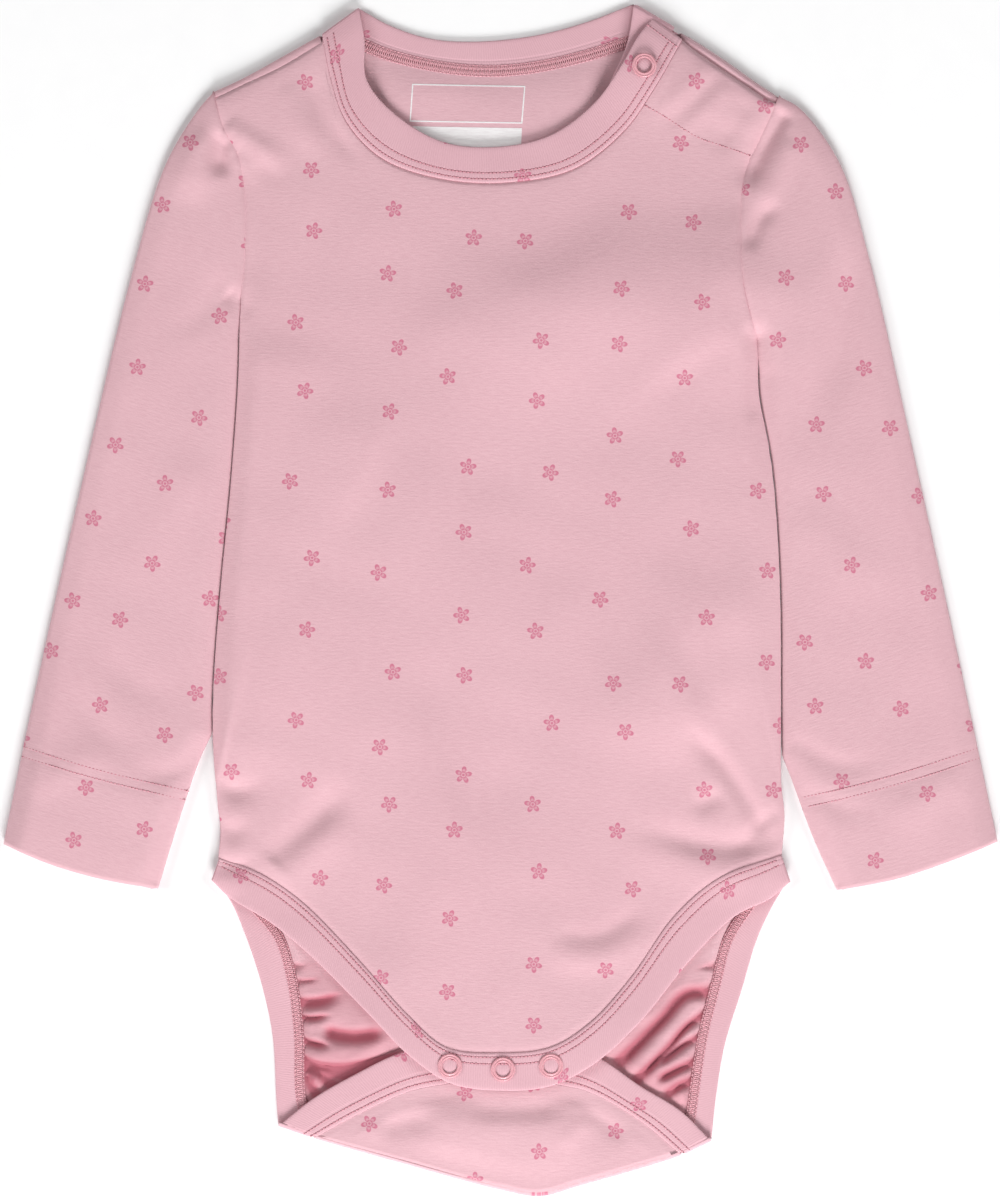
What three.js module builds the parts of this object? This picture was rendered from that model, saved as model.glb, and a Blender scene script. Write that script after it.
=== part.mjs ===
// Long-sleeved baby bodysuit for 18 to 24 months, fastened and laid flat on its back.
// Millimetres. +X runs towards the wearer's left sleeve, +Y up to the neck, +Z up off the surface.
// "right" and "left" are the wearer's. Each cloth piece is a wall of its own, just clear of its neighbours.
import * as THREE from "three";

// Driving dimensions
const JERSEY = 1.2; // wall of the printed single jersey
const BINDING = 1.6; // wall of the folded binding
const HEM_EXTRA = 0.9; // second layer inside the sleeve hem
const SEAM_GAP = 0.4; // room left between two pieces where they are sewn together
const SIDE_GAP = 1.6; // between a sleeve's fold and the body's side, middle of wall to middle of wall
const LOFT = 4.5; // height of the upper layer, middle of wall
const EDGE_SOFTNESS = 4.5; // width over which the upper layer rounds down to the side seam
const UNDER_SOFTNESS = 2; // the same for the lower layer
const SIDE_SEAM_TOP = 2.65; // height of the front's side edge
const SIDE_SEAM_UNDER = 1.1; // height of the back's side edge
const SLEEVE_FOLD = 2.1; // height of a sleeve's folded edges
const HEM_DEPTH = 40; // turned-in hem of a sleeve
const FOLDED_INNER = 0.1; // inner half of the wall at a sharp fold, where the two layers meet
const LAYER_GAP = 0.15; // half the room left between the two layers beside a fold
const FLAP_HEIGHT = 3.4; // height of the crotch flap where it folds up, middle of wall
const FLAP_END_HEIGHT = 3; // height of the flap's bound end, under the front
const WRAP_HEIGHT = 3.4; // the back neckband's end, folded forward over the left shoulder
const UNDERLAP_HEIGHT = 2.6; // the back's left shoulder, rolled forward under the front
const CROTCH_RISE = { height: 2, from: 118, to: 184 }; // the front lies higher over the flap, this far down
const SHOULDER_RISE = { height: 2.4, spread: 22 }; // and higher again round the shoulder fastener
const FLAP_LEVELS = { from: -204, to: -193 }; // the flap comes down to the height of its end between these
const BINDING_STEP = 0.2; // a binding lies this much higher than the panel it is sewn to
const INNER_FOLD_ROOM = 4; // a sleeve's inner fold leaves the side this far above its free part
const SEAT_SHARES = { from: 0.55, to: 0.85 }; // the sleeve's seat moves away from the body between these
const SHOULDER_ROLL = { softness: 1.1, rows: [0.3, 0.65, 1] }; // how the back comes forward at the shoulders
const POINTS_PER_MM = 1000; // points nearer than one step of this are one
const SNAP = { ring: 9.8, hole: 6.0, ringWall: 0.75, plate: 0.55, socket: 0.65, stud: 3.4, under: 0.5 };
const SNAP_SEAT = 0.35; // room between a fastener's piece and the binding it is set in

// Short tables: the first argument names the columns.
const table = (columns, rows) =>
  rows.map((row) => Object.fromEntries(columns.split(" ").map((name, i) => [name, row[i]])));
const knots = (...rows) => table("x y", rows);

// Plan outlines, as knots of smooth curves. Sides and legs run from the bottom up.
const NECK_SEAM = knots(
  [-71.2, 226.2], [-68, 210], [-61.5, 191.5], [-47, 176.5], [-22, 168.2], [6, 167.2],
  [30, 172.6], [49.5, 187.5], [61, 203.5], [72.8, 224],
);
const NECK_FREE = knots(
  [-56.4, 236.8], [-54.2, 224], [-53.6, 209], [-45, 197], [-24, 183.6], [-2, 181.2],
  [20, 185.8], [38, 199], [49, 214.4], [55, 225], [60.8, 232.4],
);
const BACK_NECK_FREE = knots(
  [-56.4, 236.8], [-44, 230], [-28, 224.8], [-10, 223.6], [14, 226], [34, 231.2], [54, 238.8],
);
const BACK_NECK_SEAM = knots(
  [-71.4, 225.6], [-60, 224.4], [-46, 219], [-26, 214], [-4, 212], [18, 214.2],
  [40, 219.8], [56, 225], [72.4, 226.6],
);
const SHOULDER_FOLD = {
  right: knots([-114.4, 203.6], [-104, 208.4], [-88, 217.2], [-72.4, 226]),
  left: knots([111.6, 201.6], [104, 206.4], [88, 217.6], [73, 227.2]),
};
const SHOULDER_SEAM = {
  right: knots([-113.6, 200.8], [-103, 206], [-87, 213.6], [-71.4, 223]),
  left: knots([110.4, 197.4], [96, 207.2], [80, 218], [72.8, 223.4]),
};
// Hidden, under the left shoulder
const UNDERLAP_EDGE = knots([107.4, 191.6], [94, 199.4], [81, 208], [72.6, 213.6]);
const ARMHOLE = {
  right: knots([-103.6, 120], [-102.2, 140], [-102.2, 162], [-104.8, 178], [-110.8, 189.6], [-114.4, 203.6]),
  left: knots([102.8, 104], [97.2, 128], [96.2, 150], [98, 171], [104, 185], [111.6, 201.6]),
};
const SIDE = {
  right: knots(
    [-112.4, -103.2], [-111.6, -93], [-113, -78], [-114.6, -45], [-111.8, 0], [-107.2, 48],
    [-104.4, 88], [-103.6, 120],
  ),
  left: knots(
    [112.4, -102], [113.6, -87], [112.2, -74], [112, -40], [111.6, 8], [108.4, 54],
    [103.2, 84], [102.8, 104],
  ),
};
const FRONT_LEG_SEAM = knots(
  [-112.4, -103.2], [-96, -109.2], [-80, -120], [-56, -144.4], [-37, -165.6], [-21.5, -178.6],
  [0, -180.8], [20, -178.6], [36, -168.8], [52, -151.2], [70, -126], [88, -110.8], [112.4, -102],
);
const CROTCH_KNOTS = { right: 5, left: 7 };
const FRONT_LEG_FREE = knots(
  [-115.2, -112], [-108, -119], [-92, -128.8], [-76, -142], [-52, -166], [-37, -181.4], [-20, -193],
  [0, -196], [20, -194.2], [38, -185], [56, -168.6], [76, -144], [94, -126.4], [108, -119.4], [116, -112.6],
);
const HIP_FOLD = {
  right: knots([-112.4, -103.2], [-115.2, -112], [-108, -119.6]),
  left: knots([112.4, -102], [116, -112.6], [110, -121]),
};
const BACK_LEG_SEAM = {
  right: knots(
    [-74.6, -214.8], [-78.4, -198], [-79, -174], [-82, -151], [-87.4, -134], [-98, -121], [-112, -104.6],
  ),
  left: knots(
    [72.6, -221.6], [75.4, -203], [79.4, -176], [84.8, -154], [90, -135], [98.6, -121.6], [112, -103.4],
  ),
};
const BACK_LEG_FREE = {
  right: knots(
    [-88.8, -210.4], [-89.6, -199], [-91, -175], [-95.4, -154], [-102.8, -132], [-108, -120.4],
    [-114.6, -112],
  ),
  left: knots(
    [84.6, -216.4], [86.6, -198], [90, -178], [96.8, -156], [102.8, -136], [108.6, -123.4], [115, -112.6],
  ),
};
const CROTCH_FOLD = knots(
  [-88.8, -210.6], [-74.6, -215.4], [-40, -225.2], [0, -236], [16, -238.6], [32, -234.4],
  [72.6, -222.2], [84.6, -216.6],
);
const CROTCH_FOLD_KNOTS = { right: 1, left: 6 };
const FLAP_SEAM = {
  right: knots([-74.6, -215.4], [-56, -205.4], [-36, -196.6], [-20, -193.4]),
  left: knots([72.6, -222.2], [56, -208.4], [36, -197], [20, -193.4]),
};
const FLAP_FREE = {
  right: knots([-88.8, -210.6], [-74, -199], [-56, -188.8], [-42, -182], [-30, -178.6], [0, -178]),
  left: knots([84.6, -216.6], [72, -204.2], [56, -194.4], [42, -184.6], [30, -178.8], [0, -178]),
};
const CORNER_OUTWARDS = { x: -0.3, y: -0.95 }; // the way out at the flap's right corner
const SLEEVE_OUTER = {
  right: knots(
    [-114.4, 203.6], [-121, 196], [-134, 174], [-148, 128], [-168, 44], [-186.8, -40], [-198.8, -97.6],
  ),
  left: knots(
    [111.6, 201.6], [120, 196.8], [136, 174.8], [148, 136], [164.4, 64], [182, -16], [199.2, -96.6],
  ),
};
const SLEEVE_INNER_FREE = {
  right: knots([-115.6, -53], [-120.4, -63], [-128, -84.8], [-137.4, -115.4]),
  left: knots([113.4, -62], [117, -71], [126, -95.2], [135.4, -116]),
};
const CUFF = {
  right: knots([-198.8, -97.6], [-180, -105.4], [-160, -111.2], [-137.4, -115.4]),
  left: knots([199.2, -96.6], [184, -102.8], [160, -111], [135.4, -116]),
};
const SLEEVE_CONTACT_KNOTS = 4; // a sleeve lies against the side from this knot of SIDE up
// Where the back neckband goes over the left shoulder, and its run from there under the front one
const NECK_PEAK = {
  right: knots([-71.2, 226.8], [-56.4, 236.8]),
  left: knots([72, 228], [54, 238.8]),
};
const WRAP = {
  seamPeak: { x: 70, y: 229.4 },
  freePeak: { x: 54.2, y: 238.6 },
  outwards: { x: 0.51, y: 0.86 },
  seam: knots([69, 226.4], [65, 212], [57, 198]),
  free: knots([53.2, 235.4], [50.6, 222], [44, 207]),
};

// Where the press fasteners sit
const CROTCH_SNAPS = table("x y", [[-20, -186], [1.2, -187.4], [20.4, -186]]);
const SHOULDER_SNAP = { x: 57.6, y: 213.6 };

// Folds. Each runs from its first point to its second, with a round section of the given width and height
// (a trough where that is negative), and fade says how much of it has gone at the second point.
const TOP_FOLDS = table("x0 y0 x1 y1 width height fade", [
  [48, 166, -40, 104, 16, -1, 0.6], // slack across the chest
  [64, 160, 100, 150, 13, -0.9, 0.2],
  [92, 132, 0, 92, 14, 0.7, 0.7],
  [102, 112, 50, 74, 9, -1, 0.8], // drag line from the left armpit
  [70, 10, 44, -36, 16, -0.9, 0.4],
  [94, 12, 92, -42, 6, 0.8, 0.5], // stands up along the left side
  [76, -56, 107, -95, 4.5, -1.7, 0], // deep fold above the left hip
  [84, -50, 108, -80, 6, 1, 0.3],
  [-114, -76, -96, -80, 4, -1.5, 0.3], // nick above the right hip
  [-104, -93, -62, -74, 8, 1, 0.6],
  [-88, -82, -58, -70, 6, -0.8, 0.8],
  [-52, 16, -12, -82, 12, 0.7, 0.5], // slack across the belly
  [-30, 20, 2, -60, 12, -0.6, 0.5],
  [84, -114, 40, -104, 6, -0.9, 0.8],
  [78, -104, 34, -95, 6, 0.6, 0.8],
  [-14, -177.4, 14, -177.4, 3, 0.8, 0], // front puffs up at the crotch seam
  [-104, 184, -92, 176, 6, -1, 0.3],
  [-92, 192, -66, 176, 7, -0.8, 0.5],
  [-114, 176, -110, 148, 5, -1.2, 0.2], // crease beside the right armhole
  [-110, 148, -106, 100, 4, -0.9, 0.4],
  [122, 178, 105, 154, 6, -1.5, 0], // crease beside the left armhole
  [108, 140, 105, 100, 5, -1, 0.4],
  [129, 118, 121, 38, 10, -0.7, 0.5],
  [-146, 60, -160, -20, 12, 0.6, 0.5],
  [152, 20, 166, -60, 12, 0.6, 0.5],
]);
// Gathers of the seat, drawn in by the stretched binding: they start at the leg seam and run inwards.
const SEAT_FOLDS = table("x0 y0 x1 y1 width height fade", [
  [-84, -142, -62, -136, 4, 2, 1],
  [-82, -151, -50, -146, 3.4, 2.8, 0.9],
  [-80, -159, -62, -157, 2.8, 3.4, 0.8],
  [-80, -167, -44, -168, 3, 3.6, 0.8],
  [-80, -175, -50, -177, 2.8, 3.2, 0.8],
  [-79, -182, -42, -181, 2.8, 3.6, 0.7],
  [-79, -190, -60, -192, 2.8, 3, 0.8],
  [-78, -198, -66, -198, 3, 2, 0.8],
  [88, -143, 62, -136, 4, 2, 1],
  [85, -152, 56, -158, 3.2, 2.8, 0.8],
  [83, -160, 50, -188, 3.4, 3.8, 0.4],
  [81, -169, 58, -190, 2.8, 3.2, 0.6],
  [80, -177, 60, -195, 2.8, 3, 0.6],
  [78, -185, 62, -198, 2.8, 2.8, 0.6],
  [77, -193, 64, -202, 2.8, 2.2, 0.8],
]);
const FLAP_FOLDS = table("x0 y0 x1 y1 width height fade", [
  [-30, -214, 34, -216, 14, 1.1, 0.2],
  [-44, -212, -36, -210, 6, -0.9, 0.3],
  [-10, -201, 22, -201, 5, -0.8, 0.3],
  [46, -214, 38, -206, 5, -0.7, 0.3],
]);

// A smooth curve through knots, as a dense run of points.
const STEPS_PER_SPAN = 16;
const SHOULDER_SEAM_START = STEPS_PER_SPAN / 4; // the shoulder seam's first point past the armhole's corner
function trace(points) {
  const curve = new THREE.CatmullRomCurve3(points.map(({ x, y }) => new THREE.Vector3(x, y, 0)));
  return curve.getPoints(STEPS_PER_SPAN * (points.length - 1)).map(({ x, y }) => new THREE.Vector2(x, y));
}
const span = (line, first, last) => line.slice(first * STEPS_PER_SPAN, last * STEPS_PER_SPAN + 1);
const reversed = (line) => [...line].reverse();
const joined = (...lines) => lines.flatMap((line, i) => (i ? line.slice(1) : line));

function lengthsAlong(line) {
  const lengths = [0];
  for (let i = 1; i < line.length; i++) lengths.push(lengths[i - 1] + line[i].distanceTo(line[i - 1]));
  return lengths;
}

// Points of a line at fractions of its length.
function pick(line, fractions) {
  const lengths = lengthsAlong(line);
  const total = lengths.at(-1);
  let i = 1;
  return fractions.map((fraction) => {
    const wanted = fraction * total;
    while (i < line.length - 1 && lengths[i] < wanted) i++;
    const share = (wanted - lengths[i - 1]) / (lengths[i] - lengths[i - 1]);
    return line[i - 1].clone().lerp(line[i], THREE.MathUtils.clamp(share, 0, 1));
  });
}
const even = (cells) => Array.from({ length: cells + 1 }, (_, i) => i / cells);

function distanceTo(line, x, y) {
  let least = Infinity;
  for (let i = 1; i < line.length; i++) {
    const a = line[i - 1];
    const dx = line[i].x - a.x;
    const dy = line[i].y - a.y;
    const share = THREE.MathUtils.clamp(((x - a.x) * dx + (y - a.y) * dy) / (dx * dx + dy * dy || 1), 0, 1);
    least = Math.min(least, Math.hypot(x - a.x - share * dx, y - a.y - share * dy));
  }
  return least;
}

// Fills the space between four edges, each an array of plan points: rows run from bottom to top.
function fill(bottom, top, left, right) {
  const shares = (line) => {
    const lengths = lengthsAlong(line);
    return lengths.at(-1) > 0 && lengths.map((length) => length / lengths.at(-1));
  };
  const average = (a, b) => {
    const [first, second] = [shares(a) || shares(b), shares(b)]; // an edge may be a single point
    return first.map((share, i) => (share + second[i]) / 2);
  };
  const across = average(bottom, top);
  const up = average(left, right);
  return up.map((v, j) =>
    across.map((u, i) => {
      const mix = (axis) =>
        (1 - v) * bottom[i][axis] + v * top[i][axis] + (1 - u) * left[j][axis] + u * right[j][axis] -
        (1 - u) * ((1 - v) * bottom[0][axis] + v * top[0][axis]) -
        u * ((1 - v) * bottom.at(-1)[axis] + v * top.at(-1)[axis]);
      return new THREE.Vector2(mix("x"), mix("y"));
    }),
  );
}

// Heights
const roundOver = (share) => Math.sqrt(1 - (1 - THREE.MathUtils.clamp(share, 0, 1)) ** 2);

function foldHeight(folds, x, y) {
  return folds.reduce((sum, { x0, y0, x1, y1, width, height, fade }) => {
    const dx = x1 - x0;
    const dy = y1 - y0;
    const share = THREE.MathUtils.clamp(((x - x0) * dx + (y - y0) * dy) / (dx * dx + dy * dy), 0, 1);
    const away = Math.hypot(x - x0 - share * dx, y - y0 - share * dy) / width;
    return sum + height * (1 - fade * share) * Math.exp(-away * away);
  }, 0);
}

function topHeight(x, y) {
  const towardsCrotch = THREE.MathUtils.smoothstep(-y, CROTCH_RISE.from, CROTCH_RISE.to);
  const fromSnap = Math.hypot(x - SHOULDER_SNAP.x, y - SHOULDER_SNAP.y) / SHOULDER_RISE.spread;
  const lifted = CROTCH_RISE.height * towardsCrotch + SHOULDER_RISE.height * Math.exp(-fromSnap * fromSnap);
  return LOFT + lifted + foldHeight(TOP_FOLDS, x, y);
}

const lines = ({ right, left }) => ({ right: trace(right), left: trace(left) });
const neckSeam = trace(NECK_SEAM);
const neckFree = trace(NECK_FREE);
const backNeckFree = trace(BACK_NECK_FREE);
const backNeckSeam = trace(BACK_NECK_SEAM);
const frontLegSeam = trace(FRONT_LEG_SEAM);
const frontLegFree = trace(FRONT_LEG_FREE);
const crotchFold = trace(CROTCH_FOLD);
const shoulderFold = lines(SHOULDER_FOLD);
const shoulderSeam = lines(SHOULDER_SEAM);
const armhole = lines(ARMHOLE);
const side = lines(SIDE);
const hipFold = lines(HIP_FOLD);
const backLegSeam = lines(BACK_LEG_SEAM);
const backLegFree = lines(BACK_LEG_FREE);
const flapSeam = lines(FLAP_SEAM);
const flapFree = lines(FLAP_FREE);
const sleeveOuter = lines(SLEEVE_OUTER);
const sleeveInnerFree = lines(SLEEVE_INNER_FREE);
const cuff = lines(CUFF);

const neckPeak = lines(NECK_PEAK);
const BODY_EDGES = ["right", "left"].flatMap((s) => [side[s], hipFold[s], shoulderFold[s], neckPeak[s]]);
const fromBodyEdge = (x, y) => Math.min(...BODY_EDGES.map((line) => distanceTo(line, x, y)));

const frontHeight = (x, y) =>
  SIDE_SEAM_TOP + (topHeight(x, y) - SIDE_SEAM_TOP) * roundOver(fromBodyEdge(x, y) / EDGE_SOFTNESS);

function backHeight(x, y) {
  const gathers = Math.max(0, foldHeight(SEAT_FOLDS, x, y));
  const room = frontHeight(x, y) - (JERSEY + BINDING) / 2 - 2 * SEAM_GAP;
  const lifted = Math.min(JERSEY / 2 + gathers, Math.max(room, JERSEY / 2));
  return lifted + (SIDE_SEAM_UNDER - JERSEY / 2) * (1 - roundOver(fromBodyEdge(x, y) / UNDER_SOFTNESS));
}

// A cloth surface, the middle of its wall, put together from grids whose shared edges join up.
class Cloth {
  points = [];
  quads = [];
  outer = [];
  inner = [];
  seen = new Map();

  point(p, outer, inner) {
    const key = [p.x, p.y, p.z].map((value) => Math.round(value * POINTS_PER_MM)).join(" ");
    if (!this.seen.has(key)) {
      this.seen.set(key, this.points.length);
      this.points.push(p);
      this.outer.push(outer);
      this.inner.push(inner);
    }
    return this.seen.get(key);
  }

  // rows of 3D points; turned swaps the side that faces out. half gives a point's half walls.
  grid(rows, half, turned = false) {
    const at = rows.map((row, j) =>
      row.map((p, i) => {
        const wall = typeof half === "function" ? half(i, j) : half;
        return this.point(p, wall.outer ?? wall, wall.inner ?? wall);
      }),
    );
    for (let j = 1; j < rows.length; j++) {
      for (let i = 1; i < rows[0].length; i++) {
        const quad = [at[j - 1][i - 1], at[j - 1][i], at[j][i], at[j][i - 1]];
        this.quads.push(turned ? quad.reverse() : quad);
      }
    }
    return this;
  }

  // The closed wall: an outer and an inner face, joined along the free edges.
  solid() {
    const triangles = this.quads.flatMap(([a, b, c, d]) => {
      const P = this.points;
      const shorter = P[a].distanceTo(P[c]) <= P[b].distanceTo(P[d]);
      const cut = shorter ? [[a, b, c], [a, c, d]] : [[a, b, d], [b, c, d]];
      return cut.filter((corners) => new Set(corners).size === corners.length);
    });
    const normals = this.points.map(() => new THREE.Vector3());
    const edges = new Map();
    for (const [a, b, c] of triangles) {
      const P = this.points;
      const face = new THREE.Vector3().crossVectors(P[b].clone().sub(P[a]), P[c].clone().sub(P[a]));
      for (const k of [a, b, c]) normals[k].add(face);
      for (const [m, n] of [[a, b], [b, c], [c, a]]) {
        if (!edges.delete(n + " " + m)) edges.set(m + " " + n, [m, n]);
      }
    }
    const count = this.points.length;
    const place = [];
    normals.forEach((normal) => normal.normalize());
    this.points.forEach((p, k) => place.push(p.clone().addScaledVector(normals[k], this.outer[k])));
    this.points.forEach((p, k) => place.push(p.clone().addScaledVector(normals[k], -this.inner[k])));
    const index = triangles.flatMap(([a, b, c]) => [a, b, c, a + count, c + count, b + count]);
    for (const [m, n] of edges.values()) {
      const [from, to] = [m + count, n + count];
      const outwards = place[m].distanceTo(place[to]) <= place[from].distanceTo(place[n]);
      index.push(...(outwards ? [m, from, to, m, to, n] : [m, from, n, from, to, n]));
    }
    const geometry = new THREE.BufferGeometry().setFromPoints(place);
    geometry.setIndex(index);
    return geometry;
  }
}
const raise = (row, height) => row.map(({ x, y }) => new THREE.Vector3(x, y, height(x, y)));
const flat = (height) => () => height;
const vector = ({ x, y }) => new THREE.Vector2(x, y);

// Moves a line sideways, to the left of its direction where the distance is positive.
function shifted(line, distance) {
  return line.map((p, i) => {
    const along = line[Math.min(i + 1, line.length - 1)].clone().sub(line[Math.max(i - 1, 0)]).normalize();
    const by = typeof distance === "function" ? distance(i / (line.length - 1)) : distance;
    return new THREE.Vector2(p.x - along.y * by, p.y + along.x * by);
  });
}

// Cells along the edges. Two pieces that are sewn together share the points of their seam.
const mirrored = (half) => [...half, ...reversed(half).slice(1).map((f) => 1 - f)];
const FRONT_COLUMNS = mirrored([0, 0.008, 0.024, 0.07, 0.13, 0.19, 0.25, 0.31, 0.36, 0.41, 0.455, 0.5]);
const BACK_COLUMNS = mirrored([0, 0.008, 0.024, 0.07, 0.13, 0.2, 0.27, 0.34, 0.42, 0.5]);
const SHOULDER_CELLS = [0, 0.06, 0.2, 0.56, 1];
const SHOULDER_CELLS_BACK = reversed(SHOULDER_CELLS).map((f) => 1 - f);
const SLEEVE_CELLS = [0, 0.03, 0.09, 0.27, 0.5, 0.73, 0.91, 0.975, 1];
const SIDE_ROWS = even(9);
const LEG_ROWS = even(8);
const GATHERED_ROWS = even(24);
const FLAP_ROWS = even(5);
const SLEEVE_ROWS = even(16);
const END_ROWS = even(4); // of the flap's end and of the back neckband's
const neckPoints = pick(neckSeam, even(FRONT_COLUMNS.length - 2 * SHOULDER_CELLS.length + 1));
const backNeckPoints = pick(backNeckSeam, even(BACK_COLUMNS.length - 2 * SHOULDER_CELLS.length + 1));
const bothSides = (make) => ({ right: make("right"), left: make("left") });
const armholePoints = bothSides((s) => pick(reversed(armhole[s]), SLEEVE_CELLS)); // from the shoulder down
const frontLegPoints = {
  right: pick(reversed(span(frontLegSeam, 0, CROTCH_KNOTS.right)), LEG_ROWS),
  left: pick(span(frontLegSeam, CROTCH_KNOTS.left, FRONT_LEG_SEAM.length - 1), LEG_ROWS),
};
const crotchSeam = span(frontLegSeam, CROTCH_KNOTS.right, CROTCH_KNOTS.left);
const crotchPoints = pick(crotchSeam, even(FRONT_COLUMNS.length - 1));
const backLegPoints = bothSides((s) => pick(backLegSeam[s], GATHERED_ROWS));
const flapPoints = bothSides((s) => pick(flapSeam[s], FLAP_ROWS));
const between = (a, b, fractions) => pick([a, b], fractions);

// A body panel: its leg part, and its torso from the hips to the shoulders.
function bodyRows(foot, legs, top, holes, columns) {
  const hips = between(side.right[0], side.left[0], columns);
  const torso = (s) => joined(pick(side[s], SIDE_ROWS), holes[s]);
  const leg = (s, hip) => [...legs[s].slice(0, -1), hip];
  const below = fill(foot, hips, leg("right", hips[0]), leg("left", hips.at(-1)));
  return joined(below, fill(hips, top, torso("right"), torso("left")));
}

// Front panel
function frontPanel() {
  const corner = (s) => armholePoints[s][1];
  const shoulder = (s) => pick([corner(s), ...shoulderSeam[s].slice(SHOULDER_SEAM_START)], SHOULDER_CELLS);
  const top = joined(shoulder("right"), neckPoints, reversed(shoulder("left")));
  const holes = bothSides((s) => reversed(armholePoints[s].slice(1)));
  const rows = bodyRows(crotchPoints, frontLegPoints, top, holes, FRONT_COLUMNS);
  return new Cloth().grid(rows.map((row) => raise(row, frontHeight)), JERSEY / 2).solid();
}

// Back panel, with its tail folded up as the crotch flap and its shoulders rolled forward
const FOLD_ANGLES = [-60, -25, 10, 45];

function foldOver(edge, outwards, low, high, wall) {
  const radius = (high - low) / 2;
  return [-90, ...FOLD_ANGLES, 90].map((degrees) => {
    const angle = THREE.MathUtils.degToRad(degrees);
    return edge.map((p, i) => {
      const inset = wall / 2 + radius * (1 - Math.cos(angle));
      const plan = p.clone().addScaledVector(outwards[i], -inset);
      return new THREE.Vector3(plan.x, plan.y, (low + high) / 2 + radius * Math.sin(angle));
    });
  });
}

const outwardsOf = (line) =>
  line.map((p, i) => {
    const along = line[Math.min(i + 1, line.length - 1)].clone().sub(line[Math.max(i - 1, 0)]).normalize();
    return new THREE.Vector2(along.y, -along.x);
  });

const flapHeight = (x, y) => {
  const atEnd = THREE.MathUtils.smoothstep(y, FLAP_LEVELS.from, FLAP_LEVELS.to);
  return THREE.MathUtils.lerp(FLAP_HEIGHT + foldHeight(FLAP_FOLDS, x, y), FLAP_END_HEIGHT, atEnd);
};

function backPanel() {
  const plan = (row) => row.map(vector);
  const across = even(BACK_COLUMNS.length - 1);
  const foldLine = pick(span(crotchFold, CROTCH_FOLD_KNOTS.right, CROTCH_FOLD_KNOTS.left), across);
  const roll = foldOver(foldLine, outwardsOf(foldLine), JERSEY / 2, FLAP_HEIGHT, JERSEY);
  const foot = plan(roll[0]);
  const legs = {
    right: [foot[0], ...backLegPoints.right.slice(1)],
    left: [foot.at(-1), ...backLegPoints.left.slice(1)],
  };
  const shoulder = {
    right: pick(shifted(shoulderFold.right, -JERSEY / 2), SHOULDER_CELLS),
    left: pick(shifted(shoulderFold.left, JERSEY / 2), SHOULDER_CELLS),
  };
  const top = joined(shoulder.right, backNeckPoints, reversed(shoulder.left));
  const holes = bothSides((s) => [...reversed(armholePoints[s].slice(1)), shoulder[s][0]]);
  const rows = bodyRows(foot, legs, top, holes, BACK_COLUMNS).map((row) => raise(row, backHeight));
  rows[0] = roll[0];
  const rightSeam = [armholePoints.right[1], ...shoulderSeam.right.slice(SHOULDER_SEAM_START)];
  const rightEdge = shifted(pick(rightSeam, SHOULDER_CELLS), SEAM_GAP);
  const underEdge = pick(reversed(trace(UNDERLAP_EDGE)), SHOULDER_CELLS_BACK);
  const underFront = ({ x, y }) => Math.min(UNDERLAP_HEIGHT, frontHeight(x, y) - JERSEY - SEAM_GAP);
  const atFront = ({ x, y }) => frontHeight(x, y);
  const rolls = [
    { base: rows.at(-1).slice(0, SHOULDER_CELLS.length), tops: rightEdge.map(atFront), edge: rightEdge },
    { base: rows.at(-1).slice(-SHOULDER_CELLS.length), tops: underEdge.map(underFront), edge: underEdge },
  ];
  rolls.forEach(({ base, tops }) => base.forEach((p, i) => (p.z = (JERSEY / 2 + tops[i]) / 2)));
  const shoulderWall = (i, j) => {
    const folded = j === rows.length - 1 && Math.min(i, BACK_COLUMNS.length - 1 - i) < SHOULDER_CELLS.length;
    return { outer: JERSEY / 2, inner: folded ? FOLDED_INNER : JERSEY / 2 };
  };
  const cloth = new Cloth().grid(rows, shoulderWall, true).grid(roll, JERSEY / 2);

  const crest = plan(roll.at(-1));
  const flapEnd = between(flapSeam.right.at(-1), flapSeam.left.at(-1), across);
  const flapSide = (s, start) => [start, ...flapPoints[s].slice(1)];
  const flap = fill(crest, flapEnd, flapSide("right", crest[0]), flapSide("left", crest.at(-1)));
  cloth.grid([roll.at(-1), ...flap.slice(1).map((row) => raise(row, flapHeight))], JERSEY / 2);

  // The right shoulder rolls up to the front's edge, and the left one runs on under it.
  rolls.forEach(({ base, tops, edge }) => {
    const over = SHOULDER_ROLL.rows.map((share) =>
      base.map((p, i) => {
        const { x, y } = vector(p).lerp(edge[i], share);
        const risen = roundOver(share * SHOULDER_ROLL.softness);
        return new THREE.Vector3(x, y, THREE.MathUtils.lerp(p.z, tops[i], risen));
      }),
    );
    cloth.grid([base, ...over], JERSEY / 2, true);
  });
  return cloth.solid();
}

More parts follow.
